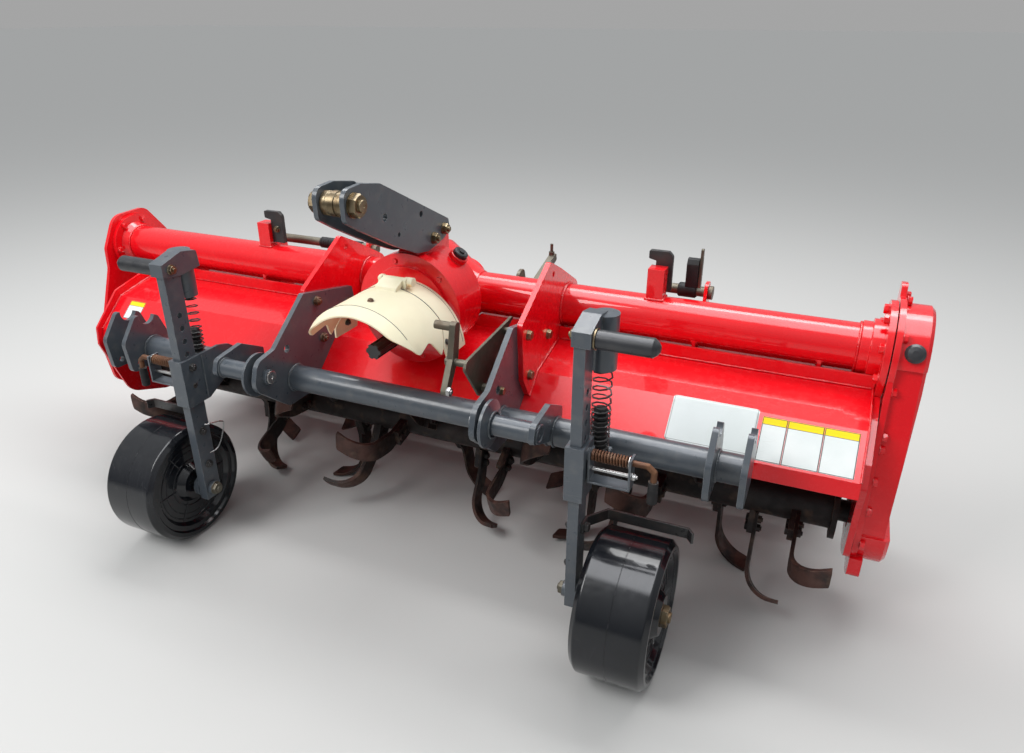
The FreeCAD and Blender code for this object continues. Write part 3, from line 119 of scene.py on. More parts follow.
# Two values joined by a plain sum: multiply, add, subtract, maximum, minimum.
def joinValues(tree, kind, first, second):
    node = tree.nodes.new("ShaderNodeMath")
    node.operation = kind
    for socket, value in zip(node.inputs, (first, second)):
        if isinstance(value, bpy.types.NodeSocket):
            tree.links.new(value, socket)
        else:
            socket.default_value = value
    return node.outputs[0]


# The surface normal with its edges rounded over a small radius, so that a folded edge catches light.
def softNormal(tree, radius):
    bevel = tree.nodes.new("ShaderNodeBevel")
    bevel.samples = 3
    bevel.inputs["Radius"].default_value = radius
    return bevel.outputs["Normal"]


# Where an edge is: the rounded normal turns away from the true one there.
def edgeMask(tree, rounded, low, high):
    geometry = tree.nodes.new("ShaderNodeNewGeometry")
    product = tree.nodes.new("ShaderNodeVectorMath")
    product.operation = "DOT_PRODUCT"
    tree.links.new(rounded, product.inputs[0])
    tree.links.new(geometry.outputs["Normal"], product.inputs[1])
    return spreadValue(tree, product.outputs["Value"], low, high, 1.0, 0.0)


# Distance from an axis along X, as a mask from low to high (metres).
def reachMask(tree, axis, low, high):
    flat = objectPlace(tree, (0, -axis[0], -axis[1]), (0.0, 1, 1))
    length = tree.nodes.new("ShaderNodeVectorMath")
    length.operation = "LENGTH"
    tree.links.new(flat, length.inputs[0])
    return spreadValue(tree, length.outputs["Value"], low, high)


# One finish from its dictionary: two colours mixed by slow noise; a painted glow on faces turned
# downward, standing for light shining through the plastic; dust by faster noise; a colour along
# worn edges; a colour by distance from the rotor's axis; scratches; roughness between two values;
# and a fine bump on a softened normal.
def makeFinish(name, look):
    material = bpy.data.materials.new(name)
    material.use_nodes = True
    tree = material.node_tree
    shader = tree.nodes["Principled BSDF"]
    slow = noiseMask(tree, look.get("patch", 3.0), 0.35, 0.65)
    colour = mixColours(tree, slow, look["colour"], look["second"])
    rough = spreadValue(tree, noiseMask(tree, look.get("grain", 60.0), 0.3, 0.7, 6.0), 0, 1,
                        *look["roughness"])
    rounded = softNormal(tree, look.get("edgeRadius", 0.0016))
    # Painted light: faces turned downward take the under colour, a glow standing for light shining through the
    # plastic.
    if "under" in look:
        facing = addNode(tree, "ShaderNodeSeparateXYZ")
        tree.links.new(tree.nodes.new("ShaderNodeNewGeometry").outputs["Normal"], facing.inputs[0])
        paintedGlowBelow = spreadValue(tree, facing.outputs[2], 0.05, -0.35)
        colour = mixColours(tree, paintedGlowBelow, colour, look["under"])
    if "tip" in look:
        reach = reachMask(tree, look["tipAxis"], *look["tipReach"])
        worn = joinValues(tree, "MULTIPLY", reach, noiseMask(tree, 24.0, 0.36, 0.56, 6.0))
        colour = mixColours(tree, worn, colour, look["tip"])
    if "dust" in look:
        fine = noiseMask(tree, look.get("dustScale", 30.0), look.get("dustFrom", 0.52), 0.8, 8.0)
        share = joinValues(tree, "MULTIPLY", fine, look.get("dustShare", 0.5))
        colour = mixColours(tree, share, colour, look["dust"])
        rough = joinValues(tree, "ADD", rough, joinValues(tree, "MULTIPLY", share, 0.35))
    if "scratch" in look:
        lines = scratchMask(tree, look.get("scratchScale", 9.0), look.get("scratchStretch", (1, 6, 6)),
                            look.get("scratchWidth", 0.008))
        lines = joinValues(tree, "MULTIPLY", lines, noiseMask(tree, 7.0, 0.52, 0.66))
        share = joinValues(tree, "MULTIPLY", lines, look.get("scratchShare", 0.5))
        colour = mixColours(tree, share, colour, look["scratch"])
    if "edge" in look:
        worn = joinValues(tree, "MULTIPLY", edgeMask(tree, rounded, 0.90, 0.995),
                          noiseMask(tree, look.get("edgeScale", 45.0), *look.get("edgeFrom", (0.50, 0.62)), 6.0))
        colour = mixColours(tree, worn, colour, look["edge"])
        rough = joinValues(tree, "ADD", rough, joinValues(tree, "MULTIPLY", worn, 0.2))
    tree.links.new(colour, shader.inputs["Base Color"])
    tree.links.new(rough, shader.inputs["Roughness"])
    shader.inputs["Metallic"].default_value = look.get("metallic", 0.0)
    shader.inputs["Specular IOR Level"].default_value = look.get("specular", 0.5)
    if "coat" in look:
        shader.inputs["Coat Weight"].default_value = look["coat"]
        shader.inputs["Coat Roughness"].default_value = look.get("coatRoughness", 0.08)
    bump = addNode(tree, "ShaderNodeBump", Strength=look.get("bump", 0.1), Distance=look.get("depth", 0.0006))
    tree.links.new(noiseMask(tree, look.get("bumpScale", 90.0), 0.2, 0.8, 5.0, look.get("bumpStretch")),
                   bump.inputs["Height"])
    tree.links.new(rounded, bump.inputs["Normal"])
    tree.links.new(bump.outputs["Normal"], shader.inputs["Normal"])
    return material


looks = {
    "redPaint": {"colour": (0.80, 0.0035, 0.009), "second": (0.70, 0.003, 0.010), "patch": 2.2,
                 "dust": (0.72, 0.10, 0.09), "dustScale": 13.0, "dustFrom": 0.58, "dustShare": 0.12,
                 "edge": (0.86, 0.10, 0.10), "edgeFrom": (0.42, 0.62), "edgeScale": 22.0,
                 "scratch": (0.70, 0.16, 0.15), "scratchShare": 0.22,
                 "roughness": (0.20, 0.32), "specular": 0.15, "coat": 0.8, "coatRoughness": 0.03,
                 "bump": 0.04, "bumpScale": 60.0, "depth": 0.0004, "edgeRadius": 0.0022},
    "greyPaint": {"colour": (0.050, 0.061, 0.074), "second": (0.070, 0.081, 0.095), "patch": 3.0,
                  "dust": (0.17, 0.17, 0.16), "dustScale": 38.0, "dustShare": 0.30,
                  "edge": (0.30, 0.32, 0.34), "edgeFrom": (0.40, 0.60),
                  "scratch": (0.22, 0.22, 0.22), "scratchShare": 0.3,
                  "roughness": (0.26, 0.40), "specular": 0.4, "coat": 0.3, "coatRoughness": 0.12,
                  "bump": 0.06, "bumpScale": 120.0, "depth": 0.0004},
    "zincSteel": {"colour": (0.27, 0.215, 0.135), "second": (0.15, 0.115, 0.070), "patch": 26.0,
                  "dust": (0.16, 0.075, 0.03), "dustScale": 60.0, "dustShare": 0.75,
                  "edge": (0.52, 0.47, 0.37), "roughness": (0.26, 0.44), "metallic": 1.0,
                  "edgeRadius": 0.0008},
    "brightSteel": {"colour": (0.50, 0.50, 0.49), "second": (0.36, 0.36, 0.36), "patch": 20.0,
                    "dust": (0.25, 0.15, 0.08), "dustScale": 70.0, "dustShare": 0.3,
                    "roughness": (0.22, 0.36), "metallic": 1.0, "edgeRadius": 0.0008},
    "bareSteel": {"colour": (0.095, 0.086, 0.066), "second": (0.15, 0.137, 0.108), "patch": 9.0,
                  "dust": (0.12, 0.062, 0.03), "dustScale": 26.0, "dustShare": 0.5,
                  "edge": (0.36, 0.34, 0.29), "roughness": (0.36, 0.56), "metallic": 0.75,
                  "bump": 0.15},
    "rustySteel": {"colour": (0.085, 0.036, 0.018), "second": (0.155, 0.070, 0.034), "patch": 30.0,
                   "dust": (0.30, 0.15, 0.075), "dustScale": 90.0, "dustShare": 0.4,
                   "edge": (0.46, 0.36, 0.28), "roughness": (0.42, 0.66), "metallic": 0.5,
                   "bump": 0.35, "bumpScale": 260.0},
    # painted shade: these near-black colours are the steel's own dark colour, darkened further to stand for the
    # shade under the hood
    "tineSteelAndShade": {"colour": (0.009, 0.007, 0.007), "second": (0.022, 0.014, 0.012), "patch": 9.0,
                  "tip": (0.074, 0.032, 0.024), "tipAxis": (0.050, 0.235), "tipReach": (0.13, 0.21),
                  "dust": (0.22, 0.135, 0.09), "dustScale": 26.0, "dustFrom": 0.55, "dustShare": 0.5,
                  "edge": (0.30, 0.20, 0.15), "edgeFrom": (0.46, 0.62),
                  "roughness": (0.40, 0.70), "metallic": 0.35, "bump": 0.3},
    "blackSteel": {"colour": (0.014, 0.014, 0.015), "second": (0.026, 0.025, 0.025), "patch": 20.0,
                   "dust": (0.12, 0.07, 0.05), "dustShare": 0.25, "edge": (0.16, 0.15, 0.14),
                   "roughness": (0.26, 0.44)},
    "creamPlastic": {"colour": (0.80, 0.735, 0.52), "second": (0.84, 0.79, 0.60), "patch": 4.0,
                     # painted light: peach on faces turned downward, standing for light shining through the plastic
                     "under": (0.90, 0.64, 0.38),
                     "dust": (0.62, 0.54, 0.38), "dustScale": 24.0, "dustShare": 0.22,
                     "edge": (0.93, 0.89, 0.74), "edgeFrom": (0.2, 0.5),
                     "roughness": (0.28, 0.40), "specular": 0.2, "bump": 0.06, "edgeRadius": 0.0014},
    "wheelPlastic": {"colour": (0.004, 0.005, 0.007), "second": (0.008, 0.009, 0.012), "patch": 7.0,
                     "dust": (0.15, 0.14, 0.12), "dustScale": 30.0, "dustFrom": 0.60, "dustShare": 0.07,
                     "scratch": (0.10, 0.10, 0.11), "scratchScale": 22.0, "scratchStretch": (5, 0.8, 0.8),
                     "scratchShare": 0.4, "edge": (0.05, 0.05, 0.055),
                     "roughness": (0.14, 0.26), "specular": 0.25, "coat": 0.4, "coatRoughness": 0.05, "bump": 0.04},
    "blackPlastic": {"colour": (0.014, 0.015, 0.018), "second": (0.026, 0.027, 0.031), "patch": 6.0,
                     "dust": (0.20, 0.19, 0.17), "dustScale": 22.0, "dustShare": 0.14,
                     "edge": (0.07, 0.07, 0.075), "roughness": (0.26, 0.42)},
    "blackRubber": {"colour": (0.008, 0.008, 0.009), "second": (0.015, 0.015, 0.016), "patch": 12.0,
                    "dust": (0.12, 0.11, 0.10), "dustShare": 0.16, "specular": 0.3, "roughness": (0.5, 0.7),
                    "bump": 0.2, "bumpScale": 300.0},
    "weldRed": {"colour": (0.74, 0.004, 0.010), "second": (0.60, 0.003, 0.008), "patch": 40.0,
                "dust": (0.80, 0.20, 0.18), "dustScale": 60.0, "dustShare": 0.2,
                "roughness": (0.20, 0.36), "coat": 0.6, "bump": 0.2, "bumpScale": 240.0},
    "weldGrey": {"colour": (0.052, 0.063, 0.074), "second": (0.085, 0.096, 0.106), "patch": 40.0,
                 "dust": (0.18, 0.18, 0.17), "dustScale": 60.0, "dustShare": 0.3,
                 "roughness": (0.30, 0.46), "bump": 0.2, "bumpScale": 240.0},
}
finishes = {name: makeFinish(name, look) for name, look in looks.items()}
nodeFinish = {
    "redPaint": ["frame_tube_left", "frame_tube_right", "gearbox", "hitch_plates", "hood",
                 "hood_end_left", "side_plate_left", "side_plate_right", "chain_case", "hook_posts",
                 "rear_cover"],
    "greyPaint": ["mast", "hitch_arms", "cross_tube", "end_plates_left", "end_plates_right",
                  "leg_sleeves", "lock_brackets", "gauge_leg_left", "gauge_leg_right", "axle_left",
                  "axle_right", "lower_hitch_pins"],
    "zincSteel": ["top_link_pin"],
    "bareSteel": ["lever_plate", "crank_lever", "levelling_board", "rear_rods"],
    "rustySteel": ["lock_pins"],
    "tineSteelAndShade": ["rotor_shaft", "rotor_tines"],
    "blackSteel": ["leg_springs", "post_hooks", "scraper_left", "scraper_right", "input_shaft"],
    "creamPlastic": ["guard_base", "shaft_guard"],
    "wheelPlastic": ["gauge_wheel_left", "gauge_wheel_right"],
    "blackPlastic": ["oil_plugs", "grip_left", "grip_right"],
    "blackRubber": ["spring_boots", "rear_sleeves"],
}
for finishName, nodeNames in nodeFinish.items():
    for nodeName in nodeNames:
        nodeObject = bpy.data.objects[nodeName]
        nodeObject.data.materials.clear()
        nodeObject.data.materials.append(finishes[finishName])
print("finishes set")

hitchMiddle = np.array([42.5, 150.0, 0.0])    # the middle of the hitch in the model's frame, mm


# Puts worked-out points (rows of x, y, z in mm from the hitch's middle) and faces into a mesh,
# shades it smooth but for its sharp edges, and sets it on its body.
def makePiece(name, points, faces, finishName, body, sharp=38.0, corners=None):
    mesh = bpy.data.meshes.new(name)
    mesh.from_pydata(((points.reshape(-1, 3) + hitchMiddle) / 1000).tolist(), [], faces)
    mesh.polygons.foreach_set("use_smooth", np.ones(len(mesh.polygons), dtype=bool))
    mesh.set_sharp_from_angle(angle=math.radians(sharp))
    if corners is not None:
        places = np.zeros(len(mesh.loops), dtype=np.int32)
        mesh.loops.foreach_get("vertex_index", places)
        layer = mesh.uv_layers.new(name="panel")
        layer.data.foreach_set("uv", corners.reshape(-1, 2)[places].ravel())
    mesh.materials.append(finishes[finishName])
    piece = bpy.data.objects.new(name, mesh)
    bpy.context.scene.collection.objects.link(piece)
    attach(piece, body)
    return piece


# Quads of a grid of rows by columns for each of many copies, the columns closed into a ring,
# and the rows too if asked.
def ringFaces(rows, columns, copies=1, loop=False):
    row = np.arange(rows if loop else rows - 1)[:, None]
    column = np.arange(columns)[None, :]
    above = (row + 1) % rows
    beside = (column + 1) % columns
    one = np.stack([row * columns + column, row * columns + beside,
                    above * columns + beside, above * columns + column], axis=-1).reshape(-1, 4)
    starts = np.arange(copies)[:, None, None] * rows * columns
    return (one[None] + starts).reshape(-1, 4).tolist()


# Flat ends for the first and last row of each copy.
def endFaces(rows, columns, copies=1):
    first = np.arange(columns)[::-1]
    last = np.arange(columns) + (rows - 1) * columns
    starts = np.arange(copies)[:, None] * rows * columns
    return (first[None] + starts).tolist() + (last[None] + starts).tolist()


# A square pair of directions for each aim: side x up = aim.
def sidesOf(aims):
    helper = np.where(np.abs(aims[:, 2:3]) > 0.9, np.array([[1.0, 0, 0]]), np.array([[0, 0, 1.0]]))
    side = np.cross(helper, aims)
    side /= np.linalg.norm(side, axis=1, keepdims=True)
    return side, np.cross(aims, side)


# Turned or hexagonal fasteners, many at once. Each station is (distance along the aim, half
# width across flats, cap): at an angle the radius is the half width times the smaller of the cap
# and a hexagon's 1 / cos(angle from the nearest flat). A cap of 1 gives a round section, 1.155 a
# full hexagon, and between them a chamfered one.
def turnedSet(name, stations, places, aims, finishName, body, sides=24, seed=3):
    stations = np.array(stations, dtype=float)
    places = np.array(places, dtype=float).reshape(-1, 3)
    aims = np.array(aims, dtype=float).reshape(-1, 3) * np.ones((len(places), 1))
    aims = aims / np.linalg.norm(aims, axis=1, keepdims=True)
    angle = 2 * np.pi * np.arange(sides) / sides
    flat = 1 / np.cos((angle + np.pi / 6) % (np.pi / 3) - np.pi / 6)
    radius = stations[:, 1:2] * np.minimum(flat[None, :], stations[:, 2:3])
    roll = np.random.default_rng(seed).uniform(0, np.pi / 3, len(places))[:, None, None]
    side, up = sidesOf(aims)
    turn = angle[None, None, :] + roll
    points = (places[:, None, None, :]
              + aims[:, None, None, :] * stations[None, :, None, 0:1]
              + side[:, None, None, :] * (radius[None] * np.cos(turn))[..., None]
              + up[:, None, None, :] * (radius[None] * np.sin(turn))[..., None])
    rows, copies = len(stations), len(places)
    faces = ringFaces(rows, sides, copies) + endFaces(rows, sides, copies)
    return makePiece(name, points, faces, finishName, body, sharp=24.0)


# A hexagon head or nut of a given half width and height, on a round washer, with the thread's end.
def hexStations(half, height, washer=1.5, tip=0.0):
    rows = []
    if washer:
        rows += [(0, half * 1.32, 1.0), (washer - 0.3, half * 1.32, 1.0), (washer, half * 1.28, 1.0)]
    rows += [(washer, half, 1.155), (washer + height * 0.82, half, 1.155),
             (washer + height, half, 1.02)]
    if tip:
        rows += [(washer + height, half * 0.56, 1.0), (washer + height + tip - 0.8, half * 0.56, 1.0),
                 (washer + height + tip, half * 0.46, 1.0)]
    else:
        rows += [(washer + height + 0.02, half * 0.72, 1.0), (washer + height - 0.5, half * 0.62, 1.0)]
    return rows


# A profile carried along a path: a ring of the given radius at each point of the path, square
# to it. reference is a direction that the path never runs along.
def carried(path, radius, sides, loop, reference):
    path = np.asarray(path, dtype=float)
    if loop:
        along = np.roll(path, -1, axis=0) - np.roll(path, 1, axis=0)
    else:
        along = np.gradient(path, axis=0)
    along /= np.linalg.norm(along, axis=1, keepdims=True)
    side = np.cross(along, np.asarray(reference, dtype=float))
    side /= np.linalg.norm(side, axis=1, keepdims=True)
    up = np.cross(along, side)
    angle = 2 * np.pi * np.arange(sides) / sides
    radius = np.ones(len(path)) * radius
    # side, up and along are right-handed, so the angle runs round the path's own direction
    return (path[:, None, :] + radius[:, None, None]
            * (side[:, None, :] * np.cos(angle)[None, :, None]
               + up[:, None, :] * np.sin(angle)[None, :, None]))


# Points of several carried profiles as one piece: rings, closed loops or capped runs.
def carriedSet(name, runs, finishName, body, sides=8, sharp=50.0):
    blocks, faces, start = [], [], 0
    for path, radius, loop, reference in runs:
        block = carried(path, radius, sides, loop, reference)
        rows = len(block)
        found = ringFaces(rows, sides, loop=loop) + ([] if loop else endFaces(rows, sides))
        faces += [[corner + start for corner in face] for face in found]
        blocks.append(block.reshape(-1, 3))
        start += rows * sides
    return makePiece(name, np.concatenate(blocks), faces, finishName, body, sharp=sharp)


# The ripples of a hand-laid weld: its thickness swells every few millimetres, a little unevenly.
def rippled(length, count, radius, seed):
    along = np.linspace(0, length, count)
    noise = np.random.default_rng(seed).normal(0, 0.05, count)
    noise = (noise + np.roll(noise, 1) + np.roll(noise, -1)) / 3
    return radius * (1 + 0.10 * np.sin(along * 2 * np.pi / 6.0) + noise)


# A weld round a bar that lies along X: the circle of the bar's radius at one place.
def weldRing(x, axis, radius, bead, first=0.0, last=360.0, seed=1):
    whole = last - first >= 360
    length = radius * math.radians(last - first)
    count = max(int(length / 1.5), 12)
    turn = np.radians(np.linspace(first, last, count, endpoint=not whole))
    path = np.stack([np.full(count, float(x)), axis[0] + radius * np.cos(turn),
                     axis[1] + radius * np.sin(turn)], axis=1)
    return path, rippled(length, count, bead, seed), whole, (1, 0, 0)


# A weld along straight runs between points.
def weldRun(points, bead, reference, loop=False, seed=1):
    points = np.array(points, dtype=float)
    if loop:
        points = np.concatenate([points, points[:1]])
    steps = np.concatenate([[0], np.cumsum(np.linalg.norm(np.diff(points, axis=0), axis=1))])
    count = max(int(steps[-1] / 1.5), 8)
    at = np.linspace(0, steps[-1], count, endpoint=not loop)
    path = np.stack([np.interp(at, steps, points[:, i]) for i in range(3)], axis=1)
    return path, rippled(steps[-1], count, bead, seed), loop, reference


tube = {"axis": (-12, 585), "radius": 50.8}
crossTube = {"axis": (-370, 443), "radius": 30.25}

# Welds in the red frame: round the tube at its collars, hitch plates and saddles, at the feet of
# the posts, and along the hood's two ends
redWelds = {"bead": 3.0, "saddles": (-900, -600, -330, 330, 596.6, 860.6), "postLeft": -601,
            "postRight": 497}
runs = [weldRing(x, tube["axis"], tube["radius"] + 1, redWelds["bead"], seed=i)
        for i, x in enumerate((-1089, -285.5, -270.5, 270.5, 285.5, 932.5))]
for i, x in enumerate(redWelds["saddles"]):
    for j, edge in enumerate((x - 1.0, x + 9.0)):
        runs.append(weldRing(edge, tube["axis"], tube["radius"] + 0.6, 2.6, 212, 328, 20 + 2 * i + j))
for i, middle in enumerate((redWelds["postLeft"], redWelds["postRight"])):
    turn = np.linspace(0, 2 * np.pi, 72, endpoint=False)
    square = np.maximum(np.abs(np.cos(turn)), np.abs(np.sin(turn)))
    x = middle + 20 * np.cos(turn) / square
    y = tube["axis"][0] + 19 * np.sin(turn) / square
    z = tube["axis"][1] + np.sqrt(51.6 ** 2 - (y - tube["axis"][0]) ** 2)
    runs.append((np.stack([x, y, z], axis=1), rippled(156, 72, 3.2, 50 + i), True, (0, 0, 1)))
hoodEdge = [(-284, 416), (-203, 488), (-67.5, 517)]
runs.append(weldRun([(-998.5, y, z + 1) for y, z in hoodEdge], 2.4, (1, 0, 0), seed=61))
runs.append(weldRun([(976.5, y, z + 1) for y, z in hoodEdge], 2.4, (1, 0, 0), seed=62))
runs.append(weldRun([(-996, -68.2, 519), (-292, -68.2, 519)], 1.8, (0, 1, 0), seed=63))
runs.append(weldRun([(292, -68.2, 519), (972, -68.2, 519)], 1.8, (0, 1, 0), seed=64))
plateFoot = [(-250, 447), (-203, 489), (-70, 517.6)]
for i, x in enumerate((-285, 285)):
    runs.append(weldRun([(x, y, z + 1.2) for y, z in plateFoot], 2.4, (1, 0, 0), seed=66 + i))
carriedSet("redWelds", runs, "weldRed", "frame")
print("red welds made")

# Welds in the grey hitch: round the cross tube at every plate, and down the sleeves' webs
greyWelds = {"bead": 2.6, "places": (258.5, 273.5, 379.8, 394.6, 461.6, 471.2, 706.6, 721.4, 769.6)}
runs = []
for i, place in enumerate(greyWelds["places"]):
    for side in (-1, 1):
        runs.append(weldRing(side * place, crossTube["axis"], crossTube["radius"] + 0.7,
                             greyWelds["bead"], seed=80 + 2 * i + side))
for side in (-1, 1):
    runs.append(weldRing(side * 297.2, (-465, 486), 26.5, 2.2, seed=101))
    runs.append(weldRing(side * 380.2, (-465, 486), 21.8, 2.2, seed=103))
    runs.append(weldRun([(side * 462.2, -452.2, 390), (side * 462.2, -452.2, 497)], 1.8, (1, 0, 0),
                        seed=105))
carriedSet("greyWelds", runs, "weldGrey", "frame")
print("grey welds made")

# Bolts through the red hitch plates and the grey arms: heads outside, nuts inside
hitchBolts = {"half": 9.0, "right": ((-259, 597), (-141, 556), (-251, 500)),
              "left": ((-266, 599), (-141, 556), (-256, 502))}
places = [(284, y, z) for y, z in hitchBolts["right"]] + [(-284, y, z) for y, z in hitchBolts["left"]]
aims = [(1, 0, 0)] * 3 + [(-1, 0, 0)] * 3
turnedSet("hitchBoltHeads", hexStations(9.0, 7.0, 2.0), places, aims, "zincSteel", "frame", seed=5)
places = [(260, y, z) for y, z in hitchBolts["right"]] + [(-260, y, z) for y, z in hitchBolts["left"]]
aims = [(-1, 0, 0)] * 3 + [(1, 0, 0)] * 3
turnedSet("hitchBoltNuts", hexStations(9.0, 7.5, 2.0, 5.0), places, aims, "rustySteel", "frame", seed=6)
turnedSet("leverBolts", hexStations(7.2, 5.5, 1.6), [(272, -374, 514)], [(1, 0, 0)], "zincSteel",
          "frame", seed=7)
turnedSet("leverPlateNuts", hexStations(6.6, 5.0, 1.2, 3.0),
          [(225, -258, 598), (225, -374, 514)], [(-1, 0, 0)], "bareSteel", "frame", seed=8)
turnedSet("crankNuts", hexStations(8.6, 7.4, 0.0, 3.0), [(203, -478, 546)], [(1, 0, 0)],
          "brightSteel", "frame", seed=9)
turnedSet("crankShaftNut", hexStations(9.0, 6.0, 1.5, 3.0), [(190, -440, 594)], [(-1, 0, 0)],
          "bareSteel", "frame", seed=10)

# Ends of the lower hitch pins: a turned rim round a shallow centre
pinEnd = [(0, 20.5, 1), (2.6, 20.5, 1), (3.6, 19, 1), (3.6, 15, 1), (1.8, 13.5, 1), (1.8, 5, 1), (0.6, 4, 1)]
turnedSet("pinEndRims", pinEnd, [(393, -465, 486), (-393, -465, 486)], [(1, 0, 0), (-1, 0, 0)],
          "greyPaint", "frame", sides=40)
turnedSet("pinShankEnds", [(0, 15.0, 1), (1.6, 15.0, 1), (2.4, 13.6, 1), (2.4, 4, 1), (1.2, 3, 1)],
          [(250, -465, 486), (-250, -465, 486)], [(-1, 0, 0), (1, 0, 0)], "brightSteel", "frame",
          sides=32)
print("hitch bolts made")

# Mast: two bolts with nuts through the gearbox's lug, and the big nuts of the top link pin
mastBolts = {"places": ((-208, 770), (-160, 780)), "half": 10.4}
for side, finishName, tip in ((1, "zincSteel", 5.0), (-1, "zincSteel", 0.0)):
    turnedSet("mastBolts" + ("Right" if side > 0 else "Left"),
              hexStations(mastBolts["half"], 9.4, 1.8, tip),
              [(side * 35, y, z) for y, z in mastBolts["places"]], [(side, 0, 0)], finishName, "frame",
              seed=12 + side)
linkNut = [(0, 24, 1), (2.5, 24, 1), (2.5, 19.6, 1.155), (13.6, 19.6, 1.155), (16.4, 19.6, 1.03),
           (16.4, 12.4, 1), (21.4, 12.4, 1), (22.8, 11, 1), (22.8, 3, 1), (21.8, 2, 1)]
turnedSet("linkPinNuts", linkNut, [(35, -500, 903), (-35, -500, 903)], [(1, 0, 0), (-1, 0, 0)],
          "zincSteel", "frame", sides=24, seed=14)
bushStations = [(-24.6, 23, 1), (-14, 23, 1), (-13.4, 22.4, 1), (-6, 22.4, 1), (-5.4, 24.2, 1),
                (5.4, 24.2, 1), (6, 22.4, 1), (13.4, 22.4, 1), (14, 23, 1), (24.6, 23, 1)]
turnedSet("linkPinBush", bushStations, [(0, -500, 903)], [(1, 0, 0)], "zincSteel", "frame", sides=40)

# Gearbox: heads round the nose's front face, the ring of the plug's seat, and its raised centre
noseBolts = {"count": 6, "radius": 112, "first": 45}
turn = np.radians(noseBolts["first"] + 360 / noseBolts["count"] * np.arange(noseBolts["count"]))
places = np.stack([noseBolts["radius"] * np.cos(turn), np.full(len(turn), -272.0),
                   619 + noseBolts["radius"] * np.sin(turn)], axis=1)
turnedSet("noseBolts", hexStations(5.2, 3.0, 0.8), places, [(0, -1, 0)], "redPaint", "frame", seed=15)
lean = math.radians(36)
plugAim = np.array([math.sin(lean), 0, math.cos(lean)])
plugSeat = np.array([0, -168, 619]) + plugAim * 130
turnedSet("plugRim", [(0, 21.6, 1), (1.6, 21.6, 1), (2.4, 20.6, 1), (2.4, 17.4, 1), (0.2, 17.2, 1)],
          [plugSeat], [plugAim], "redPaint", "frame", sides=48)
turnedSet("plugCentre", [(-0.4, 15.2, 1), (0.5, 15.2, 1), (1.4, 14.2, 1), (1.4, 9.4, 1), (0.5, 8.6, 1),
                         (0.5, 6.2, 1.155), (3.6, 6.2, 1.155), (4.2, 6.2, 1.04)],
          [plugSeat + plugAim * 10], [plugAim], "blackPlastic", "frame", sides=24)
print("gearbox and mast dressed")

# Right end of the tube: heads on the flange; seam bolts of the chain case; the left end's collar
flangeTurn = np.radians(45 * np.arange(8) + 22.5)
places = np.stack([np.full(8, 979.0), -12 + 86 * np.cos(flangeTurn), 585 + 86 * np.sin(flangeTurn)], axis=1)
turnedSet("flangeBolts", hexStations(9.0, 8.6, 1.2), places, [(-1, 0, 0)], "redPaint", "frame", seed=16)


# The chain case's front edge at a height: the tangent of its two end circles.
def caseFront(height):
    low, high = np.array([-100.0, 235.0]), np.array([-12.0, 585.0])
    between = high - low
    turn = math.atan2(between[1], between[0]) + math.pi / 2
    square = np.array([math.cos(turn), math.sin(turn)])
    start, end = low + square * 86, high + square * 92
    return start[0] + (end[0] - start[0]) * (height - start[1]) / (end[1] - start[1])


seamHeights = np.array([542.0, 452, 425, 358, 295, 223])
seamPlaces = [(1006, caseFront(height) - 6, height) for height in seamHeights]
seamPlaces += [(1006, -8, 697), (1006, -100, 649), (1006, 50, 689)]
turnedSet("caseSeamBolts", hexStations(7.8, 8.4, 1.4), seamPlaces, [(1, 0, 0)], "redPaint", "frame",
          seed=17)
collarTurn = np.radians(65 + 60 * np.arange(6))
places = np.stack([np.full(6, -1108.0), -12 + 72 * np.cos(collarTurn), 585 + 72 * np.sin(collarTurn)], axis=1)
turnedSet("collarBolts", hexStations(7.0, 6.0, 1.4), places, [(1, 0, 0)], "redPaint", "frame", seed=18)
outerTurn = np.radians(35 + 60 * np.arange(6))
places = np.stack([np.full(6, -1142.0), -12 + 58 * np.cos(outerTurn), 585 + 58 * np.sin(outerTurn)], axis=1)
turnedSet("leftEndBolts", hexStations(8.5, 7.0, 1.6), places, [(-1, 0, 0)], "redPaint", "frame", seed=19)
bearingTurn = np.radians(45 + 90 * np.arange(4))
places = np.stack([np.full(4, -1146.0), -100 + 43 * np.cos(bearingTurn),
                   235 + 43 * np.sin(bearingTurn)], axis=1)
turnedSet("bearingBolts", hexStations(7.5, 6.0, 1.4), places, [(-1, 0, 0)], "redPaint", "frame", seed=20)

# Bearing cap over the rotor's left end, outside the plate
capStations = [(0, 30, 1), (3, 30, 1), (4, 28.8, 1), (4, 24, 1), (9, 22.5, 1), (12, 18, 1), (13, 6, 1)]
turnedSet("bearingCap", capStations, [(-1146, -100, 235)], [(-1, 0, 0)], "redPaint", "frame", sides=48)
print("frame ends dressed")

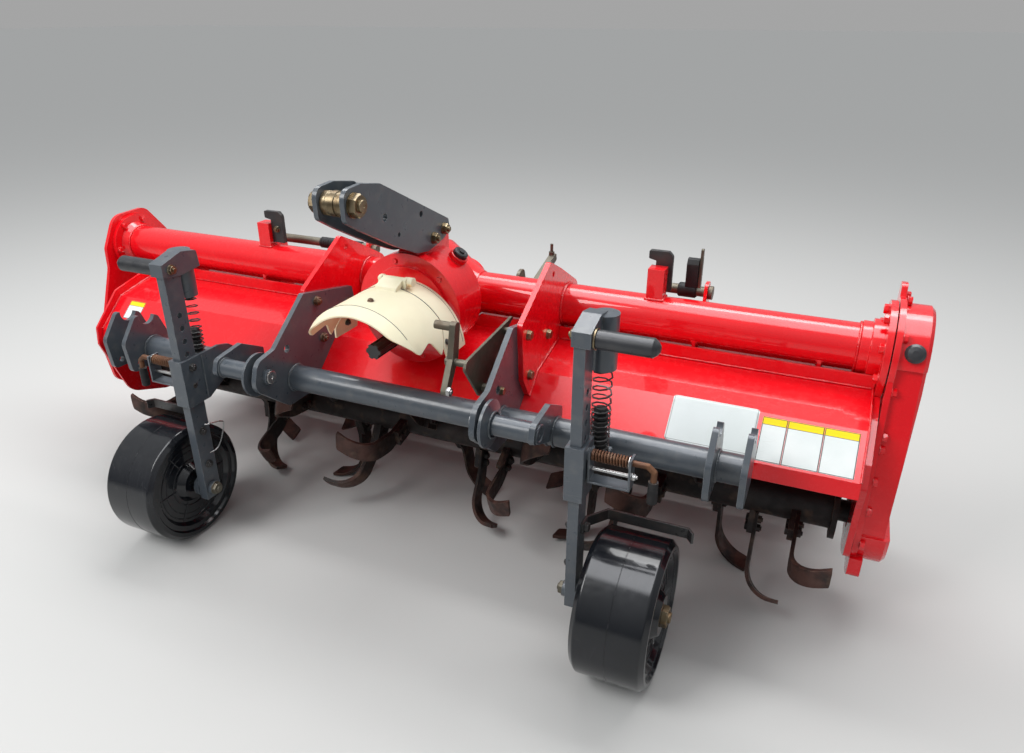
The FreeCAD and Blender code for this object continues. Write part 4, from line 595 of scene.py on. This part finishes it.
# Gauge legs: the bolt that holds the cap, a washer at the grip's root, and screws in the sleeves
for side, name in ((-1, "Left"), (1, "Right")):
    leg = "leg_left" if side < 0 else "leg_right"
    turnedSet("legCapNut" + name, hexStations(8.6, 7.0, 1.6, 3.5), [(side * 466.5, -487, 714)],
              [(-side, 0, 0)], "zincSteel", leg, seed=22)
    turnedSet("gripWasher" + name,
              [(0, 19, 1), (1.2, 20, 1), (3.8, 20, 1), (4.4, 19, 1), (4.4, 15.6, 1), (0.1, 15.6, 1)],
              [(side * 502.6, -487, 712)], [(side, 0, 0)], "zincSteel", leg, sides=36)
    turnedSet("scraperBolt" + name, hexStations(8.8, 6.6, 1.6), [(side * 498.5, -478, 309)],
              [(side, 0, 0)], "blackSteel", leg, seed=23)
    turnedSet("legBolt" + name, hexStations(7.6, 6.0, 1.6, 3.0),
              [(side * 470.5, -484, 217), (side * 470.5, -484, 309)], [(-side, 0, 0)], "blackSteel", leg,
              seed=24)
    turnedSet("axleEnd" + name, hexStations(12.5, 8.0, 1.5, 4.0), [(side * 461.5, -485, 149.5)],
              [(-side, 0, 0)], "bareSteel", leg, seed=25)
    turnedSet("axleNut" + name, [(0, 19.6, 1.155), (9.6, 19.6, 1.155), (11.6, 19.6, 1.03), (11.6, 11, 1),
                                 (15.5, 11, 1), (16.6, 9.6, 1)],
              [(side * 667.9, -485, 149.5)], [(side, 0, 0)], "zincSteel", leg, seed=26)
    turnedSet("sleeveNut" + name, hexStations(7.4, 5.4, 1.4, 2.4), [(side * 462.9, -484, 479)],
              [(-side, 0, 0)], "blackSteel", "frame", seed=27)
    turnedSet("sleeveScrew" + name,
              [(0, 6.2, 1), (0.9, 6.2, 1), (1.5, 5.4, 1), (1.5, 3.2, 1.155), (0.3, 3.0, 1.155)],
              [(side * 462.9, -485, 433)], [(-side, 0, 0)], "blackSteel", "frame", sides=24)

# Lock pins: the rusty coil round each pin inside its bracket, a washer, and the bracket's bolt
lockSpring = {"turns": 11.5, "radius": 9.6, "wire": 2.1, "first": 514.5, "last": 580}
turn = np.linspace(0, 2 * np.pi * lockSpring["turns"], 320)
for side, name in ((-1, "Left"), (1, "Right")):
    x = side * np.linspace(lockSpring["first"], lockSpring["last"], len(turn))
    path = np.stack([x, -484 + lockSpring["radius"] * np.cos(turn),
                     479 + lockSpring["radius"] * np.sin(turn)], axis=1)
    carriedSet("lockSpring" + name, [(path, lockSpring["wire"], False, (1, 0, 0))], "rustySteel",
               "frame", sides=8)
    turnedSet("lockWasher" + name, [(0, 7.0, 1), (0.1, 12.6, 1), (1.7, 12.6, 1), (1.8, 7.0, 1)],
              [(side * 578.6, -484, 479)], [(side, 0, 0)], "brightSteel", "frame", sides=32)
    turnedSet("lockSheath" + name,
              [(0, 7.5, 1), (0.6, 9.4, 1), (2, 9.6, 1), (13, 9.3, 1), (14, 9.8, 1), (30, 9.3, 1),
               (31, 9.8, 1), (45.4, 9.6, 1), (47, 8.4, 1)],
              [(side * 625.3, -484, 449.4)], [(0, 0, -1)], "blackRubber", "frame", sides=28)
    turnedSet("bracketBolt" + name, hexStations(6.0, 5.0, 1.4, 4.0), [(side * 585.3, -484, 450)],
              [(side, 0, 0)], "brightSteel", "frame", seed=29)
    turnedSet("bracketRod" + name, [(0, 3.4, 1), (0.4, 4, 1), (73.2, 4, 1), (73.6, 3.4, 1)],
              [(side * 507.5, -484, 450)], [(side, 0, 0)], "brightSteel", "frame", sides=16)
print("legs dressed")

# Wire clip on the left leg: out of a hole, back, down and into the leg again
clipPath = np.array([(-470.5, -474, 321), (-464.5, -464, 320), (-463, -440, 315), (-463, -421, 306),
                     (-463, -424, 290), (-463, -440, 262), (-464, -450, 249), (-465, -460, 244),
                     (-470.5, -474, 243)], dtype=float)
steps = np.concatenate([[0], np.cumsum(np.linalg.norm(np.diff(clipPath, axis=0), axis=1))])
at = np.linspace(0, steps[-1], 90)
clip = np.stack([np.interp(at, steps, clipPath[:, i]) for i in range(3)], axis=1)
for _ in range(10):
    clip[1:-1] = (clip[:-2] + 2 * clip[1:-1] + clip[2:]) / 4
carriedSet("wireClip", [(clip, 1.7, False, (1, 0, 0))], "brightSteel", "leg_left", sides=10)

# Gauge wheels: the fine seam that the mould left round the tread, and rings and ribs in the dished
# sides
wheel = {"middle": 594.0, "axis": (-485, 149.5), "radius": 149.5}
for side, name in ((-1, "Left"), (1, "Right")):
    body = "wheel_left" if side < 0 else "wheel_right"
    centre = (side * wheel["middle"], *wheel["axis"])
    seam = [(-1.1, 149.3, 1), (-0.35, 149.95, 1), (0.35, 149.95, 1), (1.1, 149.3, 1)]
    count, sides = len(seam), 160
    stations = np.array(seam)
    angle = 2 * np.pi * np.arange(sides) / sides
    points = np.stack([
        centre[0] + np.repeat(stations[:, 0:1], sides, axis=1),
        centre[1] + stations[:, 1:2] * np.cos(angle)[None],
        centre[2] + stations[:, 1:2] * np.sin(angle)[None]], axis=-1)
    makePiece("wheelSeam" + name, points, ringFaces(count, sides, loop=True), "wheelPlastic", body)
    for face in (-1, 1):
        rings = []
        flat = centre[0] + face * 57.5
        for radius, thickness in ((62, 1.6), (84, 1.2), (98, 1.6)):
            turn = np.linspace(0, 2 * np.pi, 120, endpoint=False)
            path = np.stack([np.full(120, flat), centre[1] + radius * np.cos(turn),
                             centre[2] + radius * np.sin(turn)], axis=1)
            rings.append((path, thickness, True, (1, 0, 0)))
        ribs = 2 * np.pi * np.arange(6) / 6
        for turn in ribs:
            ends = [(flat - face * 0.4, centre[1] + r * math.cos(turn), centre[2] + r * math.sin(turn))
                    for r in (54, 105)]
            path = np.linspace(ends[0], ends[1], 16)
            rings.append((path, 2.6 * np.sin(np.linspace(0.35, np.pi - 0.35, 16)) ** 0.4, False, (1, 0, 0)))
        carriedSet("wheelRings" + name + ("Outer" if face == side else "Inner"), rings, "wheelPlastic",
                   body, sides=8)
print("wheels dressed")

# Guard: a dark screw on the lid, one inside the left, one outside the right, and a dark line of
# painted shade along the lid's crease
guard = {"height": 550, "radius": 143.0}
lidAim = np.array([9.5, 0, 142.7]) / guard["radius"]
turnedSet("lidScrew", hexStations(5.4, 3.6, 1.0, 1.6), [(9.5, -433.6, guard["height"] + 142.3)],
          [lidAim], "rustySteel", "shaft_guard", seed=31)
sideAim = np.array([136.4, 0, 43.0]) / guard["radius"]
turnedSet("guardScrews", hexStations(5.0, 4.0, 1.2, 5.0),
          [(136.2, -352, 592.9), (-136.2, -352, 592.9)], [sideAim, sideAim * (-1, 1, 1)], "blackSteel",
          "frame", seed=32)
turnedSet("guardInnerScrews", hexStations(6.0, 5.0, 1.2, 3.0),
          [(-134.0, -324, 586.0), (134.0, -324, 586.0)], [(0.966, 0, -0.259), (-0.966, 0, -0.259)],
          "blackSteel", "frame", seed=33)
# Painted shade: a thin black rod laid along the lid's crease stands for the shade in the fold.
turn = np.radians(np.linspace(38, 142, 120))
creaseShade = np.stack([(guard["radius"] + 0.1) * np.cos(turn), np.full(120, -470.0),
                   guard["height"] + (guard["radius"] + 0.1) * np.sin(turn)], axis=1)
carriedSet("lidCreaseShade", [(creaseShade, 0.7, False, (0, 1, 0))], "blackPlastic", "shaft_guard", sides=6)
turn = np.radians(np.linspace(31, 149, 140))
seam = np.stack([(guard["radius"] + 0.0) * np.cos(turn), np.full(140, -339.4),
                 guard["height"] + guard["radius"] * np.sin(turn)], axis=1)
carriedSet("guardSeam", [(seam, 0.75, False, (0, 1, 0))], "blackPlastic", "frame", sides=6)
turn = np.radians(np.linspace(8, 172, 140))
backLine = np.stack([guard["radius"] * np.cos(turn), np.full(140, -288.5),
                     guard["height"] + guard["radius"] * np.sin(turn)], axis=1)
carriedSet("guardBackLine", [(backLine, 0.6, False, (0, 1, 0))], "blackPlastic", "frame", sides=6)
print("guard dressed")


# A blank sticker: the white field, a thin dark line inside its edge, a yellow head where it has
# one with a dark line under it, a faint yellowing and a few scuffs.
def stickerFinish(name, look):
    material = bpy.data.materials.new(name)
    material.use_nodes = True
    tree = material.node_tree
    shader = tree.nodes["Principled BSDF"]
    place = addNode(tree, "ShaderNodeUVMap", uv_map="panel")
    parts = tree.nodes.new("ShaderNodeSeparateXYZ")
    tree.links.new(place.outputs["UV"], parts.inputs[0])
    width, height = look["size"]
    edges = []
    for socket, length in ((parts.outputs[0], width), (parts.outputs[1], height)):
        away = joinValues(tree, "ABSOLUTE", joinValues(tree, "SUBTRACT", socket, 0.5), 0.0)
        edges.append(joinValues(tree, "MULTIPLY", joinValues(tree, "SUBTRACT", 0.5, away), length))
    near = joinValues(tree, "MINIMUM", *edges)
    colour = mixColours(tree, noiseMask(tree, 11.0, 0.3, 0.7), look["field"], look["aged"])
    if look["head"] > 0:
        inHead = joinValues(tree, "GREATER_THAN", parts.outputs[1], 1 - look["head"])
        colour = mixColours(tree, inHead, colour, look["yellow"])
        under = joinValues(tree, "ABSOLUTE", joinValues(tree, "SUBTRACT", parts.outputs[1], 1 - look["head"]), 0.0)
        under = joinValues(tree, "LESS_THAN", joinValues(tree, "MULTIPLY", under, height), 0.55)
        colour = mixColours(tree, under, colour, look["line"])
    outer = joinValues(tree, "GREATER_THAN", near, look["margin"])
    inner = joinValues(tree, "LESS_THAN", near, look["margin"] + look["lineWidth"])
    colour = mixColours(tree, joinValues(tree, "MULTIPLY", outer, inner), colour, look["line"])
    scuffs = joinValues(tree, "MULTIPLY", scratchMask(tree, 40.0, (1, 3, 3), 0.02), 0.25)
    scuffs = joinValues(tree, "MULTIPLY", scuffs, noiseMask(tree, 25.0, 0.5, 0.65))
    colour = mixColours(tree, scuffs, colour, (0.45, 0.40, 0.36))
    tree.links.new(colour, shader.inputs["Base Color"])
    tree.links.new(spreadValue(tree, noiseMask(tree, 50.0, 0.3, 0.7), 0, 1, 0.28, 0.42),
                   shader.inputs["Roughness"])
    shader.inputs["Specular IOR Level"].default_value = 0.12
    bump = addNode(tree, "ShaderNodeBump", Strength=0.08, Distance=0.0002)
    tree.links.new(noiseMask(tree, 180.0, 0.3, 0.7), bump.inputs["Height"])
    tree.links.new(bump.outputs["Normal"], shader.inputs["Normal"])
    finishes[name] = material


# A sheet with round corners on the hood's front slope, from x0 to x1 and from top to bottom,
# measured down the slope from its upper fold, and over the fold where top is less than 0. On a
# grid of rows down the slope by columns across it, a row's half width is the sheet's own less
# corner - sqrt(corner^2 - (corner - depth)^2), depth being the row's distance from the nearer end.
def sticker(name, look):
    x0, x1, top, bottom = look["span"]
    corner = look.get("corner", 2.0)
    ease = corner * (1 - np.cos(np.linspace(0, np.pi / 2, 8)))
    rows = np.unique(np.concatenate([top + ease, bottom - ease,
                                     np.linspace(top + corner, bottom - corner, 14), [max(top, 0.0)]]))
    depth = np.minimum(rows - top, bottom - rows)
    inset = corner - np.sqrt(np.maximum(corner ** 2 - np.maximum(corner - depth, 0) ** 2, 0))
    across = (x0 + x1) / 2 + np.linspace(-1, 1, 26)[None] * ((x1 - x0) / 2 - inset[:, None])
    slope = np.array([(-66.0, 517.0), (-203.0, 488.0), (-284.0, 416.0)])
    distance = np.array([-math.hypot(137, 29), 0, math.hypot(81, 72)])
    out = np.where(rows[:, None] < 0, np.array([-0.207, 0.978]), np.array([-0.664, 0.747])) * 0.45
    y = np.interp(rows, distance, slope[:, 0]) + out[:, 0]
    z = np.interp(rows, distance, slope[:, 1]) + out[:, 1]
    count, columns = across.shape
    points = np.stack([across, np.repeat(y[:, None], columns, 1), np.repeat(z[:, None], columns, 1)], axis=-1)
    corners = np.stack([(across - x0) / (x1 - x0),
                        np.repeat(1 - (rows[:, None] - top) / (bottom - top), columns, 1)], axis=-1)
    row, column = np.arange(count - 1)[:, None] * columns, np.arange(columns - 1)[None, :]
    faces = np.stack([row + column, row + columns + column, row + columns + column + 1,
                      row + column + 1], axis=-1).reshape(-1, 4).tolist()
    stickerFinish(name, {**look, "size": (x1 - x0, bottom - top)})
    piece = makePiece(name, points, faces, name, "frame", corners=corners)
    wall = piece.modifiers.new("thickness", "SOLIDIFY")
    wall.thickness = 0.0004
    wall.offset = -1
    return piece


whiteField = {"field": (0.72, 0.77, 0.77), "aged": (0.66, 0.71, 0.70), "yellow": (0.90, 0.66, 0.02),
              "line": (0.06, 0.06, 0.06), "lineWidth": 1.3, "margin": 2.0, "head": 0.0}
headed = {**whiteField, "field": (0.76, 0.79, 0.78), "head": 0.17, "margin": 0.5}
stickers = {
    "panelWide": {**whiteField, "span": (596, 772, -6.0, 97), "corner": 7.0,
                  "line": (0.34, 0.36, 0.36), "lineWidth": 1.4},
    "panelNarrow": {**headed, "span": (780, 828.4, 8, 103)},
    "panelMiddle": {**headed, "span": (829.2, 897.6, 8, 103)},
    "panelRight": {**headed, "span": (898.4, 963, 8, 103)},
    "panelLeft": {**headed, "span": (-951, -897, 9, 64), "head": 0.26},
}
for name, look in stickers.items():
    sticker(name, look)
print("blank panels made")

# Rotor: a bolt head and a nut at each tine's root, two to a tine
rotor = {"axis": (-100.0, 235.0), "count": 44, "pitch": 43.2, "turn": 157.0, "places": (62.0, 82.0)}
index = np.repeat(np.arange(rotor["count"]), 2)
reach = np.tile(np.array(rotor["places"]), rotor["count"])
middle = ((-1000 + 24) + (978 - 20)) / 2
across = middle + (index - (rotor["count"] - 1) / 2) * rotor["pitch"]
hand = np.where(index % 2 == 1, 1.0, -1.0)
turn = np.radians(index * rotor["turn"])
y = rotor["axis"][0] - reach * np.sin(turn)
z = rotor["axis"][1] + reach * np.cos(turn)
aim = np.stack([hand, 0 * hand, 0 * hand], axis=1)
turnedSet("tineBolts", [(0, 8.5, 1.155), (5, 8.5, 1.155), (6.4, 8.5, 1.03)],
          np.stack([across + 12 * hand, y, z], axis=1), aim, "tineSteelAndShade", "rotor", sides=12, seed=35)
turnedSet("tineNuts", [(0, 8.5, 1.155), (7, 8.5, 1.155), (8.2, 8.5, 1.03), (8.2, 5, 1), (11, 5, 1)],
          np.stack([across - 8 * hand, y, z], axis=1), -aim, "tineSteelAndShade", "rotor", sides=12, seed=36)
print("rotor dressed")

# Rear: the bolts that hold the hooks to their posts
turnedSet("hookBolts", hexStations(7.0, 5.0, 1.4, 3.0), [(506, 18.6, 676), (-563, -18.3, 682)],
          [(0, 1, 0), (0, -1, 0)], "zincSteel", "frame", seed=37)

# Rear cover: the heads of its hinge rod and the welds along its three ribs
rear = {"hinge": (146.57, 395.12), "rotor": (-100, 235), "radius": 300.4, "ribs": (-686, -60, 658)}
turnedSet("coverPinHeads", [(0, 7, 1), (0.1, 10.5, 1), (3.2, 10.5, 1), (3.8, 9.5, 1), (3.8, 3, 1)],
          [(-992, *rear["hinge"]), (970, *rear["hinge"])], [(-1, 0, 0), (1, 0, 0)], "bareSteel",
          "rear_cover", sides=32)
runs = [weldRing(x + edge, rear["rotor"], rear["radius"], 2.4, -10, 28, 120 + i + 10 * j)
        for i, x in enumerate(rear["ribs"]) for j, edge in enumerate((-0.6, 8.6))]
carriedSet("coverWelds", runs, "weldRed", "rear_cover")

# Levelling board: round rivet heads below its hinge
board = {"hinge": (189.78, 149.35), "slope": -46.0, "distance": 32.0, "rise": 2.5, "count": 11,
         "first": -960.0, "pitch": 190.0}
slope = math.radians(board["slope"])
boardUp = np.array([0, -math.sin(slope), math.cos(slope)])
rivet = (np.array([0, *board["hinge"]]) + board["distance"] * np.array([0, math.cos(slope), math.sin(slope)])
         + board["rise"] * boardUp)
places = rivet[None] + np.arange(board["count"])[:, None] * np.array([[board["pitch"], 0, 0]])
places[:, 0] += board["first"]
turnedSet("boardRivets", [(0, 8, 1), (1.2, 8, 1), (3.2, 6.6, 1), (4.4, 4, 1), (4.8, 1.5, 1)], places,
          [boardUp], "bareSteel", "levelling_board", seed=39)
print("rear dressed")

# Floor, world and lamps: shiny surfaces also mirror a bright patch of sky overhead
studio = {"floor": (0.52, 0.52, 0.51), "floorHalf": 60.0, "low": (0.30, 0.31, 0.33), "high": (0.96, 0.98, 1.0),
          "strength": 0.84, "backdrop": (0.445, 0.445, 0.445), "overhead": (0.88, 0.93),
          "bright": (8.0, 8.1, 8.4)}
floorMesh = bpy.data.meshes.new("floor")
half = studio["floorHalf"]
floorMesh.from_pydata([(-half, -half, 0), (half, -half, 0), (half, half, 0), (-half, half, 0)], [],
                      [(0, 1, 2, 3)])
floorObject = bpy.data.objects.new("floor", floorMesh)
bpy.context.scene.collection.objects.link(floorObject)
floorMaterial = bpy.data.materials.new("paleFloor")
floorMaterial.use_nodes = True
floorShader = floorMaterial.node_tree.nodes["Principled BSDF"]
floorShader.inputs["Base Color"].default_value = (*studio["floor"], 1)
floorShader.inputs["Roughness"].default_value = 0.9
floorShader.inputs["Specular IOR Level"].default_value = 0.0
floorMesh.materials.append(floorMaterial)

world = bpy.data.worlds.new("studio")
bpy.context.scene.world = world
world.use_nodes = True
background = world.node_tree.nodes["Background"]
heading = addNode(world.node_tree, "ShaderNodeSeparateXYZ")
world.node_tree.links.new(world.node_tree.nodes.new("ShaderNodeTexCoord").outputs["Generated"],
                          heading.inputs[0])
sky = mixColours(world.node_tree, spreadValue(world.node_tree, heading.outputs[2], 0.05, 0.75),
                 studio["low"], studio["high"])
path = world.node_tree.nodes.new("ShaderNodeLightPath")
overhead = spreadValue(world.node_tree, heading.outputs[2], *studio["overhead"])
mirrored = joinValues(world.node_tree, "MULTIPLY", overhead, path.outputs["Is Glossy Ray"])
sky = mixColours(world.node_tree, mirrored, sky, studio["bright"])
sky = mixColours(world.node_tree, path.outputs["Is Camera Ray"], sky, studio["backdrop"])
world.node_tree.links.new(sky, background.inputs["Color"])
background.inputs["Strength"].default_value = studio["strength"]


# A lamp of a given width and depth at a place, aimed at a point.
def softLamp(name, place, target, width, depth, power):
    lamp = bpy.data.lights.new(name, "AREA")
    lamp.shape = "RECTANGLE"
    lamp.size, lamp.size_y = width, depth
    lamp.energy = power
    lampObject = bpy.data.objects.new(name, lamp)
    lampObject.location = place
    aim = np.array(target) - np.array(place)
    flat = math.hypot(aim[0], aim[1])
    lampObject.rotation_euler = (math.atan2(flat, -aim[2]), 0, math.atan2(-aim[0], aim[1]))
    bpy.context.scene.collection.objects.link(lampObject)


softLamp("keyLamp", (-1.5, -2.4, 3.2), (0, 0, 0.4), 1.8, 1.8, 95)
softLamp("topLamp", (0, 1.25, 3.3), (0, 0, 0.45), 4.6, 0.9, 100)
print("studio set")
